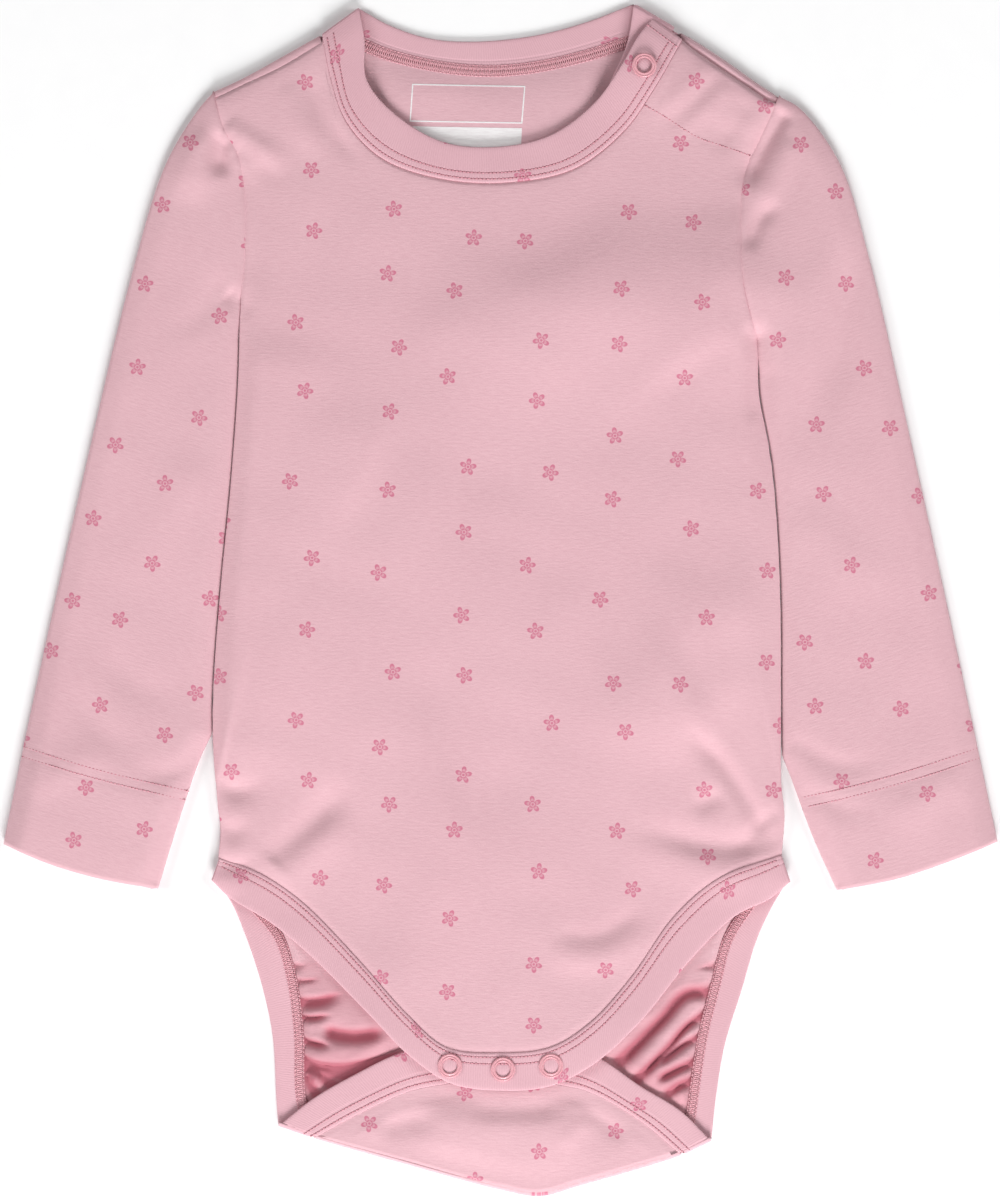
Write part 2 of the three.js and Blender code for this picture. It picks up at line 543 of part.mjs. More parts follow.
// Sleeves: flattened tubes, set into the armhole and turned in at the hem. Their rows run across, from the
// armhole or the inner fold to the outer fold, and the first one is the point of the shoulder.
function sleeve(s) {
  const sign = s === "right" ? 1 : -1;
  const seat = shifted(armholePoints[s], (share) => {
    const parted = THREE.MathUtils.smoothstep(share, SEAT_SHARES.from, SEAT_SHARES.to);
    return -sign * THREE.MathUtils.lerp(SEAM_GAP, SIDE_GAP, parted);
  });
  const touching = reversed(span(side[s], SLEEVE_CONTACT_KNOTS - 1, SIDE[s].length - 1));
  const innerFree = sleeveInnerFree[s];
  const contact = shifted(touching, -sign * SIDE_GAP).slice(1);
  const besideBody = contact.filter((p) => p.y > innerFree[0].y + INNER_FOLD_ROOM);
  const innerFold = [seat.at(-1), ...besideBody, ...innerFree];
  const outerFold = shifted(sleeveOuter[s], sign * JERSEY / 2);
  outerFold[0] = seat[0];
  const inner = joined(seat, pick(innerFold, SLEEVE_ROWS));
  const lengths = lengthsAlong(inner);
  const outer = pick(outerFold, lengths.map((length) => length / lengths.at(-1)));
  const hem = reversed(pick(cuff[s], SLEEVE_CELLS));
  const rows = fill(hem.map(() => seat[0]), hem, inner, outer);
  const fromFold = (x, y) => Math.min(distanceTo(outerFold, x, y), distanceTo(innerFold, x, y));
  const upper = (x, y) =>
    THREE.MathUtils.lerp(SLEEVE_FOLD, topHeight(x, y), roundOver(fromFold(x, y) / EDGE_SOFTNESS));
  const lower = (x, y) =>
    THREE.MathUtils.lerp(SLEEVE_FOLD, JERSEY / 2, roundOver(fromFold(x, y) / UNDER_SOFTNESS));
  const layer = (height) =>
    rows.map((row, j) => {
      const raised = raise(row, height);
      raised.at(-1).z = SLEEVE_FOLD;
      if (j === 0 || j >= seat.length - 1) raised[0].z = SLEEVE_FOLD;
      return raised;
    });
  const hemWall = (i, j) => {
    const { x, y } = rows[j][i];
    const wanted = JERSEY / 2 + (distanceTo(cuff[s], x, y) < HEM_DEPTH ? HEM_EXTRA : 0);
    const room = (upper(x, y) - lower(x, y)) / 2 - LAYER_GAP;
    return { outer: JERSEY / 2, inner: THREE.MathUtils.clamp(room, FOLDED_INNER, wanted) };
  };
  const cloth = new Cloth().grid(layer(upper), hemWall, s === "left");
  return cloth.grid(layer(lower), hemWall, s === "right").solid();
}

// Bindings: a strip between its seam and its free edge, thinner at both
const BAND_ACROSS = [0, 0.1, 0.5, 0.9, 1];
const BAND_WALL = [0.55, 1, 1, 1, 0.5].map((share) => (share * BINDING) / 2); // half walls at those shares

const bandRows = (seam, free) =>
  seam.map((p, k) => BAND_ACROSS.map((share) => p.clone().lerp(free[k], share)));
const bandSolid = (rows, turned) => new Cloth().grid(rows, (i) => BAND_WALL[i], turned).solid();
const bandHeight = (x, y) => frontHeight(x, y) + BINDING_STEP;

function frontNeckband() {
  const seam = shifted(neckPoints, SEAM_GAP);
  const rows = bandRows(seam, pick(neckFree, even(seam.length - 1)));
  return bandSolid(rows.map((row) => raise(row, bandHeight)), true);
}

// The back neckband goes over the left shoulder and under the front one's free end.
function backNeckband() {
  const seam = shifted(backNeckPoints, SEAM_GAP);
  const lying = bandRows(seam, pick(backNeckFree, even(seam.length - 1))).slice(0, -1);
  const peak = bandRows([vector(WRAP.seamPeak)], [vector(WRAP.freePeak)])[0];
  const roll = foldOver(peak, peak.map(() => vector(WRAP.outwards)), BINDING / 2, WRAP_HEIGHT, BINDING);
  const wrapRows = (line) => pick(trace(line), END_ROWS).slice(1);
  const wrap = bandRows(wrapRows(WRAP.seam), wrapRows(WRAP.free)).map((row) => raise(row, flat(WRAP_HEIGHT)));
  return bandSolid([...lying.map((row) => raise(row, flat(BINDING / 2))), ...roll, ...wrap], true);
}

function frontLegBand() {
  const seam = shifted(joined(reversed(frontLegPoints.right), crotchPoints, frontLegPoints.left), -SEAM_GAP);
  const lengths = lengthsAlong(seam);
  const free = pick(frontLegFree, lengths.map((length) => length / lengths.at(-1)));
  return bandSolid(bandRows(seam, free).map((row) => raise(row, bandHeight)), false);
}

function backLegBand() {
  const half = (s) => {
    const sign = s === "right" ? 1 : -1;
    const seam = shifted(reversed(backLegPoints[s]), -sign * SEAM_GAP);
    const free = pick(reversed(backLegFree[s]), GATHERED_ROWS);
    const lying = bandRows(seam, free).slice(0, -1);
    const fromCorner = s === "right" ? crotchFold : reversed(crotchFold);
    const across = bandRows([fromCorner[STEPS_PER_SPAN - 1]], [fromCorner[0]])[0];
    const outwards = across.map(() => new THREE.Vector2(sign * CORNER_OUTWARDS.x, CORNER_OUTWARDS.y));
    const roll = foldOver(across, outwards, BINDING / 2, FLAP_END_HEIGHT, BINDING);
    const toMiddle = between(flapSeam[s].at(-1), new THREE.Vector2(0, flapSeam[s].at(-1).y), END_ROWS);
    const upSeam = shifted(joined(flapPoints[s], toMiddle), sign * SEAM_GAP);
    const upFree = pick(flapFree[s], even(upSeam.length - 1));
    const folded = bandRows(upSeam.slice(1), upFree.slice(1));
    return [
      ...lying.map((row) => raise(row, flat(BINDING / 2))),
      ...roll,
      ...folded.map((row) => raise(row, flat(FLAP_END_HEIGHT))),
    ];
  };
  return bandSolid([...half("right"), ...reversed(half("left")).slice(1)], true);
}

// Press fasteners: an open ring outside, a socket under it, a stud and its own ring on the lower layer
const lathe = (segments, ...rows) => {
  const profile = table("radius height", rows).map(({ radius, height }) => new THREE.Vector2(radius, height));
  return new THREE.LatheGeometry([...profile, profile[0]], segments).rotateX(Math.PI / 2);
};
const SHOWN = 20; // segments round a ring that shows
const HIDDEN = 12; // and round a piece between the layers
const ringOuter = SNAP.ring / 2;
const ringInner = SNAP.hole / 2;
const SNAP_PIECES = {
  ring: lathe(
    SHOWN, [ringInner, 0], [ringOuter - 0.2, 0], [ringOuter, 0.25], [ringOuter - 0.5, SNAP.ringWall],
    [ringInner + 0.5, SNAP.ringWall], [ringInner, 0.3],
  ),
  socket: lathe(HIDDEN, [2, 0], [4.2, 0], [4.4, 0.3], [4, SNAP.socket], [2, SNAP.socket]),
  stud: lathe(
    HIDDEN, [1, 0], [4.3, 0], [4.3, SNAP.plate], [SNAP.stud / 2, SNAP.plate],
    [SNAP.stud / 2, 1.25], [1, 1.25],
  ),
  inner_ring: lathe(
    HIDDEN, [ringInner, 0], [ringOuter - 0.3, 0], [ringOuter - 0.3, SNAP.under], [ringInner, SNAP.under],
  ),
};

// The garment
const garment = new THREE.Group();
garment.name = "baby_bodysuit";

function add(name, geometry, color, place, roughness = 0.9) {
  const mesh = new THREE.Mesh(geometry, new THREE.MeshStandardMaterial({ color, roughness, metalness: 0 }));
  mesh.name = name;
  if (place) mesh.position.copy(place);
  garment.add(mesh);
}
add("front_panel", frontPanel(), "#e6bac4");
add("back_panel", backPanel(), "#e2b2bd");
add("sleeve_right", sleeve("right"), "#e4b4be");
add("sleeve_left", sleeve("left"), "#e4b4be");
add("neckband_front", frontNeckband(), "#e3acb8");
add("neckband_back", backNeckband(), "#e0a8b4");
add("leg_band_front", frontLegBand(), "#e3acb8");
add("leg_band_back", backLegBand(), "#e0a8b4");

function addSnap(name, at, lower, upper) {
  const clear = BINDING / 2 + SNAP_SEAT; // from the middle of a binding's wall to a piece lying on it
  const levels = {
    ring: upper + clear,
    socket: upper - clear - SNAP.socket,
    stud: lower + clear,
    inner_ring: lower - clear - SNAP.under,
  };
  for (const [piece, z] of Object.entries(levels)) {
    add(`${name}_${piece}`, SNAP_PIECES[piece], "#dd9ca6", new THREE.Vector3(at.x, at.y, z), 0.35);
  }
}
CROTCH_SNAPS.forEach((at, k) => addSnap(`crotch_snap_${k + 1}`, at, FLAP_END_HEIGHT, bandHeight(at.x, at.y)));
addSnap("shoulder_snap", SHOULDER_SNAP, WRAP_HEIGHT, bandHeight(SHOULDER_SNAP.x, SHOULDER_SNAP.y));

export default garment;
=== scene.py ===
# A long-sleeved baby bodysuit in pale pink printed jersey, fastened and laid flat on its back.
# Sizes are in millimetres where they are read off the garment, and become metres when a mesh is made.
# "right" and "left" are the wearer's: the wearer's left is at +X, the neck at +Y, and up is +Z.
import math

import bpy
import numpy as np
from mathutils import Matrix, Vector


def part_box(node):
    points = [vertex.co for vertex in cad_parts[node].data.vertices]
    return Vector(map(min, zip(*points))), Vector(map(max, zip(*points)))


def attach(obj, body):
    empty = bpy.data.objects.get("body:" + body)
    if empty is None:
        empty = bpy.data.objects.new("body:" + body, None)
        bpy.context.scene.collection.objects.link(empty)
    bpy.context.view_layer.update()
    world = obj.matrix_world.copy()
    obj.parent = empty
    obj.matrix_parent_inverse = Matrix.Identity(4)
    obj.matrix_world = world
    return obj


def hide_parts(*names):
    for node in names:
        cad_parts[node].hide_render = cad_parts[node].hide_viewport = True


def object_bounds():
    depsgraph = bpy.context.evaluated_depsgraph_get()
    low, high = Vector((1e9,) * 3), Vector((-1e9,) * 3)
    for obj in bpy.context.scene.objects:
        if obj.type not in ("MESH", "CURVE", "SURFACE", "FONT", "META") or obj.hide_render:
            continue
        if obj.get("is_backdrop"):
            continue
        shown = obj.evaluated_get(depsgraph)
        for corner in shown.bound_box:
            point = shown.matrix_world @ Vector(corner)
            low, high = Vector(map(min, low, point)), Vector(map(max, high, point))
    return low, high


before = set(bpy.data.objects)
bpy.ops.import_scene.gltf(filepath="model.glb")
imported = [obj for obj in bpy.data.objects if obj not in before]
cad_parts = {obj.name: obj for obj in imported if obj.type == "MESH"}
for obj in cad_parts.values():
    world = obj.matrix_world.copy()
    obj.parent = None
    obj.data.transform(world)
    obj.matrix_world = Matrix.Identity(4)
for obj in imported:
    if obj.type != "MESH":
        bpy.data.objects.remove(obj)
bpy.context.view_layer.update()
MM = 0.001


# The surface, the light and the camera
# A smooth pale sheet under soft light: a wide lamp low beyond the crotch end shows the folds, with one at
# each side. The camera looks straight down from high up, so the garment keeps its outline.
PHOTO_HEIGHT = 1200
PIXEL = 0.4 * MM
CAMERA_HEIGHT = 2.4
scene = bpy.context.scene
scene.view_settings.view_transform = "Standard"

lens = bpy.data.cameras.new("camera")
lens.sensor_fit = "VERTICAL"
lens.sensor_height = 24
lens.lens = lens.sensor_height * (CAMERA_HEIGHT - 0.004) / (PHOTO_HEIGHT * PIXEL)
lens.clip_start = 0.1
lens.clip_end = 20
camera = bpy.data.objects.new("camera", lens)
camera.location = (0, 0, CAMERA_HEIGHT)
scene.collection.objects.link(camera)
scene.camera = camera

world = bpy.data.worlds.new("daylight")
world.use_nodes = True
world.node_tree.nodes["Background"].inputs["Color"].default_value = (1.0, 0.99, 0.985, 1)
world.node_tree.nodes["Background"].inputs["Strength"].default_value = 0.17
scene.world = world


def lamp(name, place, width, watts, colour=(1, 1, 1)):
    light = bpy.data.lights.new(name, "AREA")
    light.shape = "DISK"
    light.size = width
    light.energy = watts
    light.color = colour
    lit = bpy.data.objects.new(name, light)
    lit.location = place
    lit.rotation_euler = (-lit.location).to_track_quat("-Z", "Y").to_euler()
    scene.collection.objects.link(lit)


lamp("foot_end", (0.2, -2.5, 1.4), 1.3, 91)
lamp("right_side", (-3.0, 0.2, 1.9), 1.8, 56)
lamp("left_side", (3.0, 0.0, 2.0), 2.0, 56)


class Value:
    """One socket of a material. Sums on it add Math nodes, so shader maths reads as written."""

    def __init__(self, finish, socket):
        self.finish = finish
        self.socket = socket

    def maths(self, operation, *others):
        sockets = dict(enumerate((self, *others)))
        return self.finish.value("ShaderNodeMath", {"operation": operation}, sockets)

    def __add__(self, other):
        return self.maths("ADD", other)

    def __sub__(self, other):
        return self.maths("SUBTRACT", other)

    def __rsub__(self, other):
        return self.finish.value("ShaderNodeMath", {"operation": "SUBTRACT"}, {0: other, 1: self})

    def __mul__(self, other):
        return self.maths("MULTIPLY", other)

    def __truediv__(self, other):
        return self.maths("DIVIDE", other)

    __radd__ = __add__
    __rmul__ = __mul__

    def between(self, low, high):
        """From 0 at low to 1 at high, eased."""
        sockets = {"Value": self, "From Min": low, "From Max": high}
        return self.finish.value("ShaderNodeMapRange", {"interpolation_type": "SMOOTHSTEP"}, sockets)

    def over(self, dark, light):
        """A colour that goes from dark at 0 to light at 1."""
        sockets = {"Factor": self, 6: dark, 7: light}
        return self.finish.value("ShaderNodeMix", {"data_type": "RGBA"}, sockets, 2)

    def output(self, name):
        """Another output of the same node."""
        return Value(self.finish, self.socket.node.outputs[name])


class Finish:
    """A material under construction."""

    def __init__(self, name, **shader):
        self.material = bpy.data.materials.new(name)
        self.material.use_nodes = True
        self.nodes = self.material.node_tree.nodes
        self.links = self.material.node_tree.links
        self.shader = self.nodes["Principled BSDF"]
        self.give(self.shader, {name.replace("_", " "): value for name, value in shader.items()})

    def give(self, node, sockets):
        for key, value in sockets.items():
            socket = node.inputs[key]
            if isinstance(value, Value):
                self.links.new(value.socket, socket)
            elif socket.type == "RGBA":
                socket.default_value = (*value, 1)
            else:
                socket.default_value = value

    def value(self, kind, settings=None, sockets=None, output=0):
        node = self.nodes.new(kind)
        for key, value in (settings or {}).items():
            setattr(node, key, value)
        self.give(node, sockets or {})
        return Value(self, node.outputs[output])

    def noise(self, where, scale, detail=2.0, roughness=0.5):
        sockets = {"Vector": where, "Scale": scale, "Detail": detail, "Roughness": roughness}
        return self.value("ShaderNodeTexNoise", {}, sockets)

    def stretched(self, where, x, y, z=1.0):
        return self.value("ShaderNodeMapping", {}, {"Vector": where, "Scale": (x, y, z)})

    def relief(self, height, distance, strength=1.0, under=None):
        sockets = {"Height": height, "Distance": distance, "Strength": strength}
        if under:
            sockets["Normal"] = under
        return self.value("ShaderNodeBump", {}, sockets)


tabletop = Finish("tabletop", Roughness=0.8, Specular_IOR_Level=0.1)
table_place = tabletop.value("ShaderNodeTexCoord", output="Object")
table_grain = tabletop.noise(table_place, 90, 5)
tabletop.give(tabletop.shader, {
    "Base Color": table_grain.over((0.93, 0.93, 0.935), (0.96, 0.96, 0.96)),
    "Normal": tabletop.relief(table_grain, 0.0002, 0.15),
})
table_mesh = bpy.data.meshes.new("table")
TABLE = 6.0
table_corners = [(-TABLE, -TABLE, 0), (TABLE, -TABLE, 0), (TABLE, TABLE, 0), (-TABLE, TABLE, 0)]
table_mesh.from_pydata(table_corners, [], [(0, 1, 2, 3)])
table_mesh.materials.append(tabletop.material)
table = bpy.data.objects.new("table", table_mesh)
scene.collection.objects.link(table)
table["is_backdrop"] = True


# Front panel
# One piece of single-knit cotton jersey from the shoulders to the crotch, printed with small flowers on its
# outer side only. It is sewn to the back along the sides, and its slack lies in low folds.
JERSEY = 1.2
SEAM_GAP = 0.03
LOFT = 4.5
EDGE_SOFTNESS = 7
SIDE_SEAM_TOP = 2.65
CROTCH_RISE = 2
SHOULDER_RISE = 2.4
SHOULDER_SNAP = np.array([57.6, 213.6])
SEAM_DIP = 0.26
STEPS = 16


def traced(*knots):
    """A smooth curve through its knots, as a dense run of points."""
    knots = np.array(knots, float)
    ends = np.vstack([2 * knots[0] - knots[1], knots, 2 * knots[-1] - knots[-2]])
    t = np.linspace(0, 1, STEPS, endpoint=False)[:, None]
    points = []
    for a, b, c, d in zip(ends, ends[1:], ends[2:], ends[3:]):
        before, here, after = (math.sqrt(math.dist(*pair)) for pair in ((a, b), (b, c), (c, d)))
        leaving = ((b - a) / before - (c - a) / (before + here) + (c - b) / here) * here
        arriving = ((c - b) / here - (d - b) / (here + after) + (d - c) / after) * here
        bend = 3 * (c - b) - 2 * leaving - arriving
        points.append(b + leaving * t + bend * t**2 + (2 * (b - c) + leaving + arriving) * t**3)
    return np.vstack([*points, knots[-1:]])


def run(line):
    """How far along the line each of its points is."""
    return np.concatenate([[0], np.cumsum(np.linalg.norm(np.diff(line, axis=0), axis=1))])


def along(line, fractions):
    lengths = run(line)
    wanted = np.asarray(fractions) * lengths[-1]
    return np.stack([np.interp(wanted, lengths, line[:, k]) for k in range(line.shape[1])], axis=1)


def even(cells):
    return np.linspace(0, 1, cells + 1)


def joined(*lines):
    return np.vstack([lines[0], *(line[1:] for line in lines[1:])])


def shifted(line, distance):
    """The line moved sideways, to the left of its direction where distance is positive."""
    steps = np.vstack([line[1:2] - line[:1], line[2:] - line[:-2], line[-1:] - line[-2:-1]])
    steps /= np.linalg.norm(steps, axis=1, keepdims=True)
    return line + np.stack([-steps[:, 1], steps[:, 0]], axis=1) * np.reshape(distance, (-1, 1))


def fill(bottom, top, left, right):
    """Rows of points between four edges, from the bottom one to the top one."""

    def shares(a, b):
        both = [run(line) / run(line)[-1] for line in (a, b) if run(line)[-1] > 0]
        return sum(both) / len(both)

    u = shares(bottom, top)[None, :, None]
    v = shares(left, right)[:, None, None]
    edges = (1 - v) * bottom[None] + v * top[None] + (1 - u) * left[:, None] + u * right[:, None]
    low = (1 - u) * bottom[0] + u * bottom[-1]
    high = (1 - u) * top[0] + u * top[-1]
    return edges - (1 - v) * low - v * high


def distance(lines, xy):
    """The distance from each point to the nearest of the lines."""
    starts = np.vstack([line[:-1] for line in lines])
    steps = np.vstack([line[1:] - line[:-1] for line in lines])
    squares = np.maximum((steps**2).sum(axis=1), 1e-9)
    points = xy.reshape(-1, 2)
    least = np.empty(len(points))
    for k in range(0, len(points), 2000):
        away = points[k : k + 2000, None] - starts
        share = np.clip((away * steps).sum(axis=2) / squares, 0, 1)
        least[k : k + 2000] = np.sqrt(((away - share[..., None] * steps) ** 2).sum(axis=2).min(axis=1))
    return least.reshape(xy.shape[:-1])


def round_over(share):
    return np.sqrt(1 - (1 - np.clip(share, 0, 1)) ** 2)


def smooth(share):
    share = np.clip(share, 0, 1)
    return share * share * (3 - 2 * share)


def fold_height(folds, xy, overlapping=False):
    """Soft uneven folds. Each follows its own line, rises and fades over shares of its length, and has one
    width on the left of its direction and one on the right. Overlapping ones add up, or the highest counts."""
    total = np.zeros(xy.shape[:-1])
    for knots, height, left, right, rising, fading in folds:
        line = traced(*knots)[::2]
        reach = 3 * max(left, right)
        low, high = line.min(axis=0) - reach, line.max(axis=0) + reach
        near = ((xy > low) & (xy < high)).all(axis=-1)
        steps = np.diff(line, axis=0)
        lengths = np.linalg.norm(steps, axis=1)
        away = xy[near][:, None] - line[:-1]
        share = np.clip((away * steps).sum(axis=2) / lengths**2, 0, 1)
        off = np.linalg.norm(away - share[..., None] * steps, axis=2)
        nearest = off.argmin(axis=1)
        pick = np.arange(len(nearest)), nearest
        side = steps[nearest, 0] * away[pick][:, 1] - steps[nearest, 1] * away[pick][:, 0]
        travelled = (run(line)[nearest] + share[pick] * lengths[nearest]) / lengths.sum()
        strength = smooth((1 - travelled) / fading) * (smooth(travelled / rising) if rising else 1)
        fold = height * strength * np.exp(-((off[pick] / np.where(side > 0, left, right)) ** 2))
        total[near] = np.maximum(total[near], fold) if overlapping else total[near] + fold
    return total


def unevenness(xy, seed, waves):
    """Soft waves of the given lengths and heights in directions of their own."""
    luck = np.random.default_rng(seed)
    total = np.zeros(xy.shape[:-1])
    for length, height in waves:
        for _ in range(5):
            turn, start = luck.uniform(0, 2 * math.pi, 2)
            way = xy @ (math.cos(turn), math.sin(turn))
            total += height / 3 * np.sin(2 * math.pi * way / (length * luck.uniform(0.8, 1.25)) + start)
    return total


NECK_SEAM = traced(
    (-71.2, 226.2), (-68, 210), (-61.5, 191.5), (-47, 176.5), (-22, 168.2), (6, 167.2), (30, 172.6),
    (49.5, 187.5), (61, 203.5), (72.8, 224),
)
SHOULDER_FOLD = {
    "right": traced((-114.4, 203.6), (-104, 208.4), (-88, 217.2), (-72.4, 226)),
    "left": traced((111.6, 201.6), (104, 206.4), (88, 217.6), (73, 227.2)),
}
SHOULDER_SEAM = {
    "right": traced((-113.6, 200.8), (-103, 206), (-87, 213.6), (-71.4, 223)),
    "left": traced((110.4, 197.4), (96, 207.2), (80, 218), (72.8, 223.4)),
}
ARMHOLE = {
    "right": traced((-103.6, 120), (-102.2, 140), (-102.2, 162),
        (-104.8, 178), (-110.8, 189.6), (-114.4, 203.6)),
    "left": traced((102.8, 104), (97.2, 128), (96.2, 150), (98, 171), (104, 185), (111.6, 201.6)),
}
SIDE = {
    "right": traced(
        (-112.4, -103.2), (-111.6, -93), (-113, -78), (-114.6, -45), (-111.8, 0), (-107.2, 48), (-104.4, 88),
        (-103.6, 120),
    ),
    "left": traced(
        (112.4, -102), (113.6, -87), (112.2, -74), (112, -40),
        (111.6, 8), (108.4, 54), (103.2, 84), (102.8, 104),
    ),
}
HIP_FOLD = {
    "right": traced((-112.4, -103.2), (-115.2, -112), (-108, -119.6)),
    "left": traced((112.4, -102), (116, -112.6), (110, -121)),
}
FRONT_LEG_SEAM = traced(
    (-112.4, -103.2), (-96, -109.2), (-80, -120), (-56, -144.4), (-37, -165.6), (-21.5, -178.6), (0, -180.8),
    (20, -178.6), (36, -168.8), (52, -151.2), (70, -126), (88, -110.8), (112.4, -102),
)
CROTCH_START, CROTCH_END = 5 * STEPS, 7 * STEPS
PEAK = {"right": traced((-71.2, 226.8), (-56.4, 236.8)), "left": traced((72, 228), (54, 238.8))}
BODY_EDGE = [line[s][::4] for line in (SIDE, HIP_FOLD, SHOULDER_FOLD, PEAK) for s in ("right", "left")]

# Folds of the upper side, body and sleeves: knots, height, width on the left of that direction, width on the
# right, and the shares of its length over which the fold rises and fades
TOP_FOLDS = [
    (((136, 112), (106, 117), (78, 119), (40, 113), (8, 102), (-28, 84), (-50, 68)), 4.6, 30, 30, 0.2, 0.62),
    (((72, 146), (24, 126), (-8, 113), (-44, 92)), 1.7, 24, 14, 0.3, 0.5),
    (((-64, 196), (-66, 80), (-72, 0), (-80, -80)), 0.9, 60, 25, 0.7, 0.2),
    (((-95, 110), (-101, 40), (-106, -20), (-108, -74)), 1.7, 21, 7, 0.1, 0.1),
    (((92, 90), (94, 40), (92, -30)), 0.8, 12, 40, 0.3, 0.3),
    (((104, 112), (72, 96), (50, 80), (36, 70)), 0.9, 10, 9, 0.2, 0.6),
    (((96, 104), (72, 88), (52, 72)), -0.7, 6, 6, 0.2, 0.6),
    (((-44, 84), (-58, 52), (-80, 14)), 1.1, 8, 17, 0.3, 0.5),
    (((84, 16), (76, -10), (75, -40), (82, -66)), 2.3, 13, 24, 0.4, 0.3),
    (((32, -42), (56, -38), (80, -26)), 1.8, 20, 34, 0.3, 0.3),
    (((92, 20), (92, -12), (86, -56)), 1.2, 8, 8, 0.4, 0.3),
    (((93, 30), (98, 0), (100, -40), (104, -70)), 1.0, 6, 6, 0.4, 0.4),
    (((72, -50), (88, -64), (104, -88), (108, -98)), -2.0, 3.2, 4.4, 0.3, 0.2),
    (((90, -76), (82, -81), (74, -83)), -1.5, 4, 4, 0.3, 0.5),
    (((106, -104), (94, -110), (70, -104), (42, -98)), 1.4, 9, 7, 0.2, 0.6),
    (((104, -97), (84, -98), (60, -93), (46, -93)), -1.3, 4, 5, 0.1, 0.6),
    (((-58, -70), (-70, -84), (-92, -106)), -1.6, 6, 6, 0.4, 0.1),
    (((-58, -84), (-74, -97), (-94, -110)), 1.6, 9, 6, 0.4, 0.2),
    (((-118, -73), (-104, -76), (-92, -73)), -3.4, 3.6, 5, 0, 0.7),
    (((-118, -88), (-107, -92), (-98, -88)), -3.4, 3, 5, 0, 0.7),
    (((-118, -104), (-106, -106), (-94, -103)), -2.6, 3, 5, 0, 0.7),
    (((116, -96), (100, -98), (84, -104)), -2.0, 4, 5, 0, 0.7),
    (((112, -84), (104, -90), (96, -98)), -1.4, 3, 3, 0.1, 0.5),
    (((-206, -98), (-165, -108), (-122, -118)), 4.6, 60, 40, 0.02, 0.02),
    (((122, -118), (165, -108), (206, -98)), 2.4, 56, 40, 0.02, 0.02),
    (((-120, 192), (-121, 176), (-124, 156)), 1.6, 6, 11, 0.3, 0.4),
    (((-52, -106), (0, -114), (52, -108)), 1.8, 34, 50, 0.3, 0.3),
    (((14, -142), (42, -142), (66, -128)), 1.1, 7, 6, 0.3, 0.3),
    (((18, -133), (40, -134), (58, -122)), -0.6, 4, 4, 0.3, 0.3),
    (((-38, -26), (-28, -66), (-14, -106)), 0.9, 7, 14, 0.4, 0.4),
    (((-110, 190), (-98, 182), (-82, 172)), 1.5, 4, 7, 0.1, 0.5),
    (((-106, 182), (-96, 174), (-84, 166)), -0.9, 4, 4, 0.1, 0.5),
    (((-76, 212), (-70, 192), (-54, 172)), -1.1, 4, 4, 0.2, 0.4),
    (((-86, 208), (-80, 190), (-70, 176)), 0.8, 5, 5, 0.2, 0.4),
    (((84, 214), (74, 204), (60, 191)), 1.0, 3.4, 3.4, 0.1, 0.4),
    (((92, 206), (82, 196), (68, 184)), 0.9, 3.5, 4.5, 0.1, 0.4),
    (((88, 210), (78, 200), (64, 187)), -0.7, 2.6, 2.6, 0.1, 0.4),
    (((100, 200), (93, 189), (82, 177)), -0.8, 4, 5, 0.1, 0.5),
    (((100, 192), (94, 170), (92, 146)), -1.0, 8, 22, 0.2, 0.3),
    (((-101, 176), (-97, 150), (-100, 118)), -1.0, 9, 5, 0.2, 0.3),
    (((-109, 188), (-112, 178), (-110, 168)), -3.0, 4, 5, 0.3, 0.4),
    (((-110, 124), (-104, 118), (-98, 114)), -1.8, 3, 4, 0.2, 0.4),
    (((-104, 176), (-105, 150), (-104, 118)), -0.5, 7, 5, 0.1, 0.2),
    (((-112, 124), (-122, 112), (-138, 106)), -0.7, 5, 6, 0, 0.7),
    (((-114, 60), (-128, 40), (-142, 10)), 0.6, 10, 12, 0.3, 0.5),
    (((-160, -18), (-146, -34), (-126, -40)), -0.7, 7, 7, 0.4, 0.4),
    (((-172, -30), (-160, -52), (-140, -62)), -0.6, 6, 6, 0.4, 0.4),
    (((-121, -64), (-134, -70), (-150, -66)), -1.3, 4, 5, 0, 0.7),
    (((-190, -78), (-170, -66), (-150, -58)), 0.6, 8, 6, 0.2, 0.4),
    (((115, 197), (106, 181), (98, 163)), -3.4, 3.6, 6, 0.1, 0.3),
    (((118, 186), (111, 168), (105, 152)), 1.1, 4, 4, 0.2, 0.4),
    (((112, 160), (104, 152), (99, 138)), -1.8, 3.4, 4, 0.3, 0.3),
    (((106, 96), (104, 84), (103, 70)), -1.6, 5, 5, 0.3, 0.3),
    (((142, 150), (136, 110), (128, 62)), -1.2, 7, 7, 0.3, 0.4),
    (((130, 150), (124, 110), (120, 70)), 0.8, 8, 6, 0.3, 0.4),
    (((118, 40), (138, 16), (160, 2)), 0.6, 9, 12, 0.3, 0.5),
    (((119, -58), (138, -66), (158, -62)), -0.9, 4, 5, 0, 0.7),
    (((124, -78), (140, -84), (154, -82)), -0.8, 4, 5, 0, 0.7),
    (((186, -70), (168, -80), (150, -88)), 0.7, 8, 6, 0.2, 0.4),
]


def top_height(xy):
    crotch = smooth((-xy[..., 1] - 118) / 66)
    snap = np.linalg.norm(xy - SHOULDER_SNAP, axis=-1) / 22
    soft = unevenness(xy, 3, [(70, 0.3), (38, 0.16), (21, 0.06)])
    lofted = LOFT + CROTCH_RISE * crotch + SHOULDER_RISE * np.exp(-snap * snap)
    return lofted + fold_height(TOP_FOLDS, xy) + soft


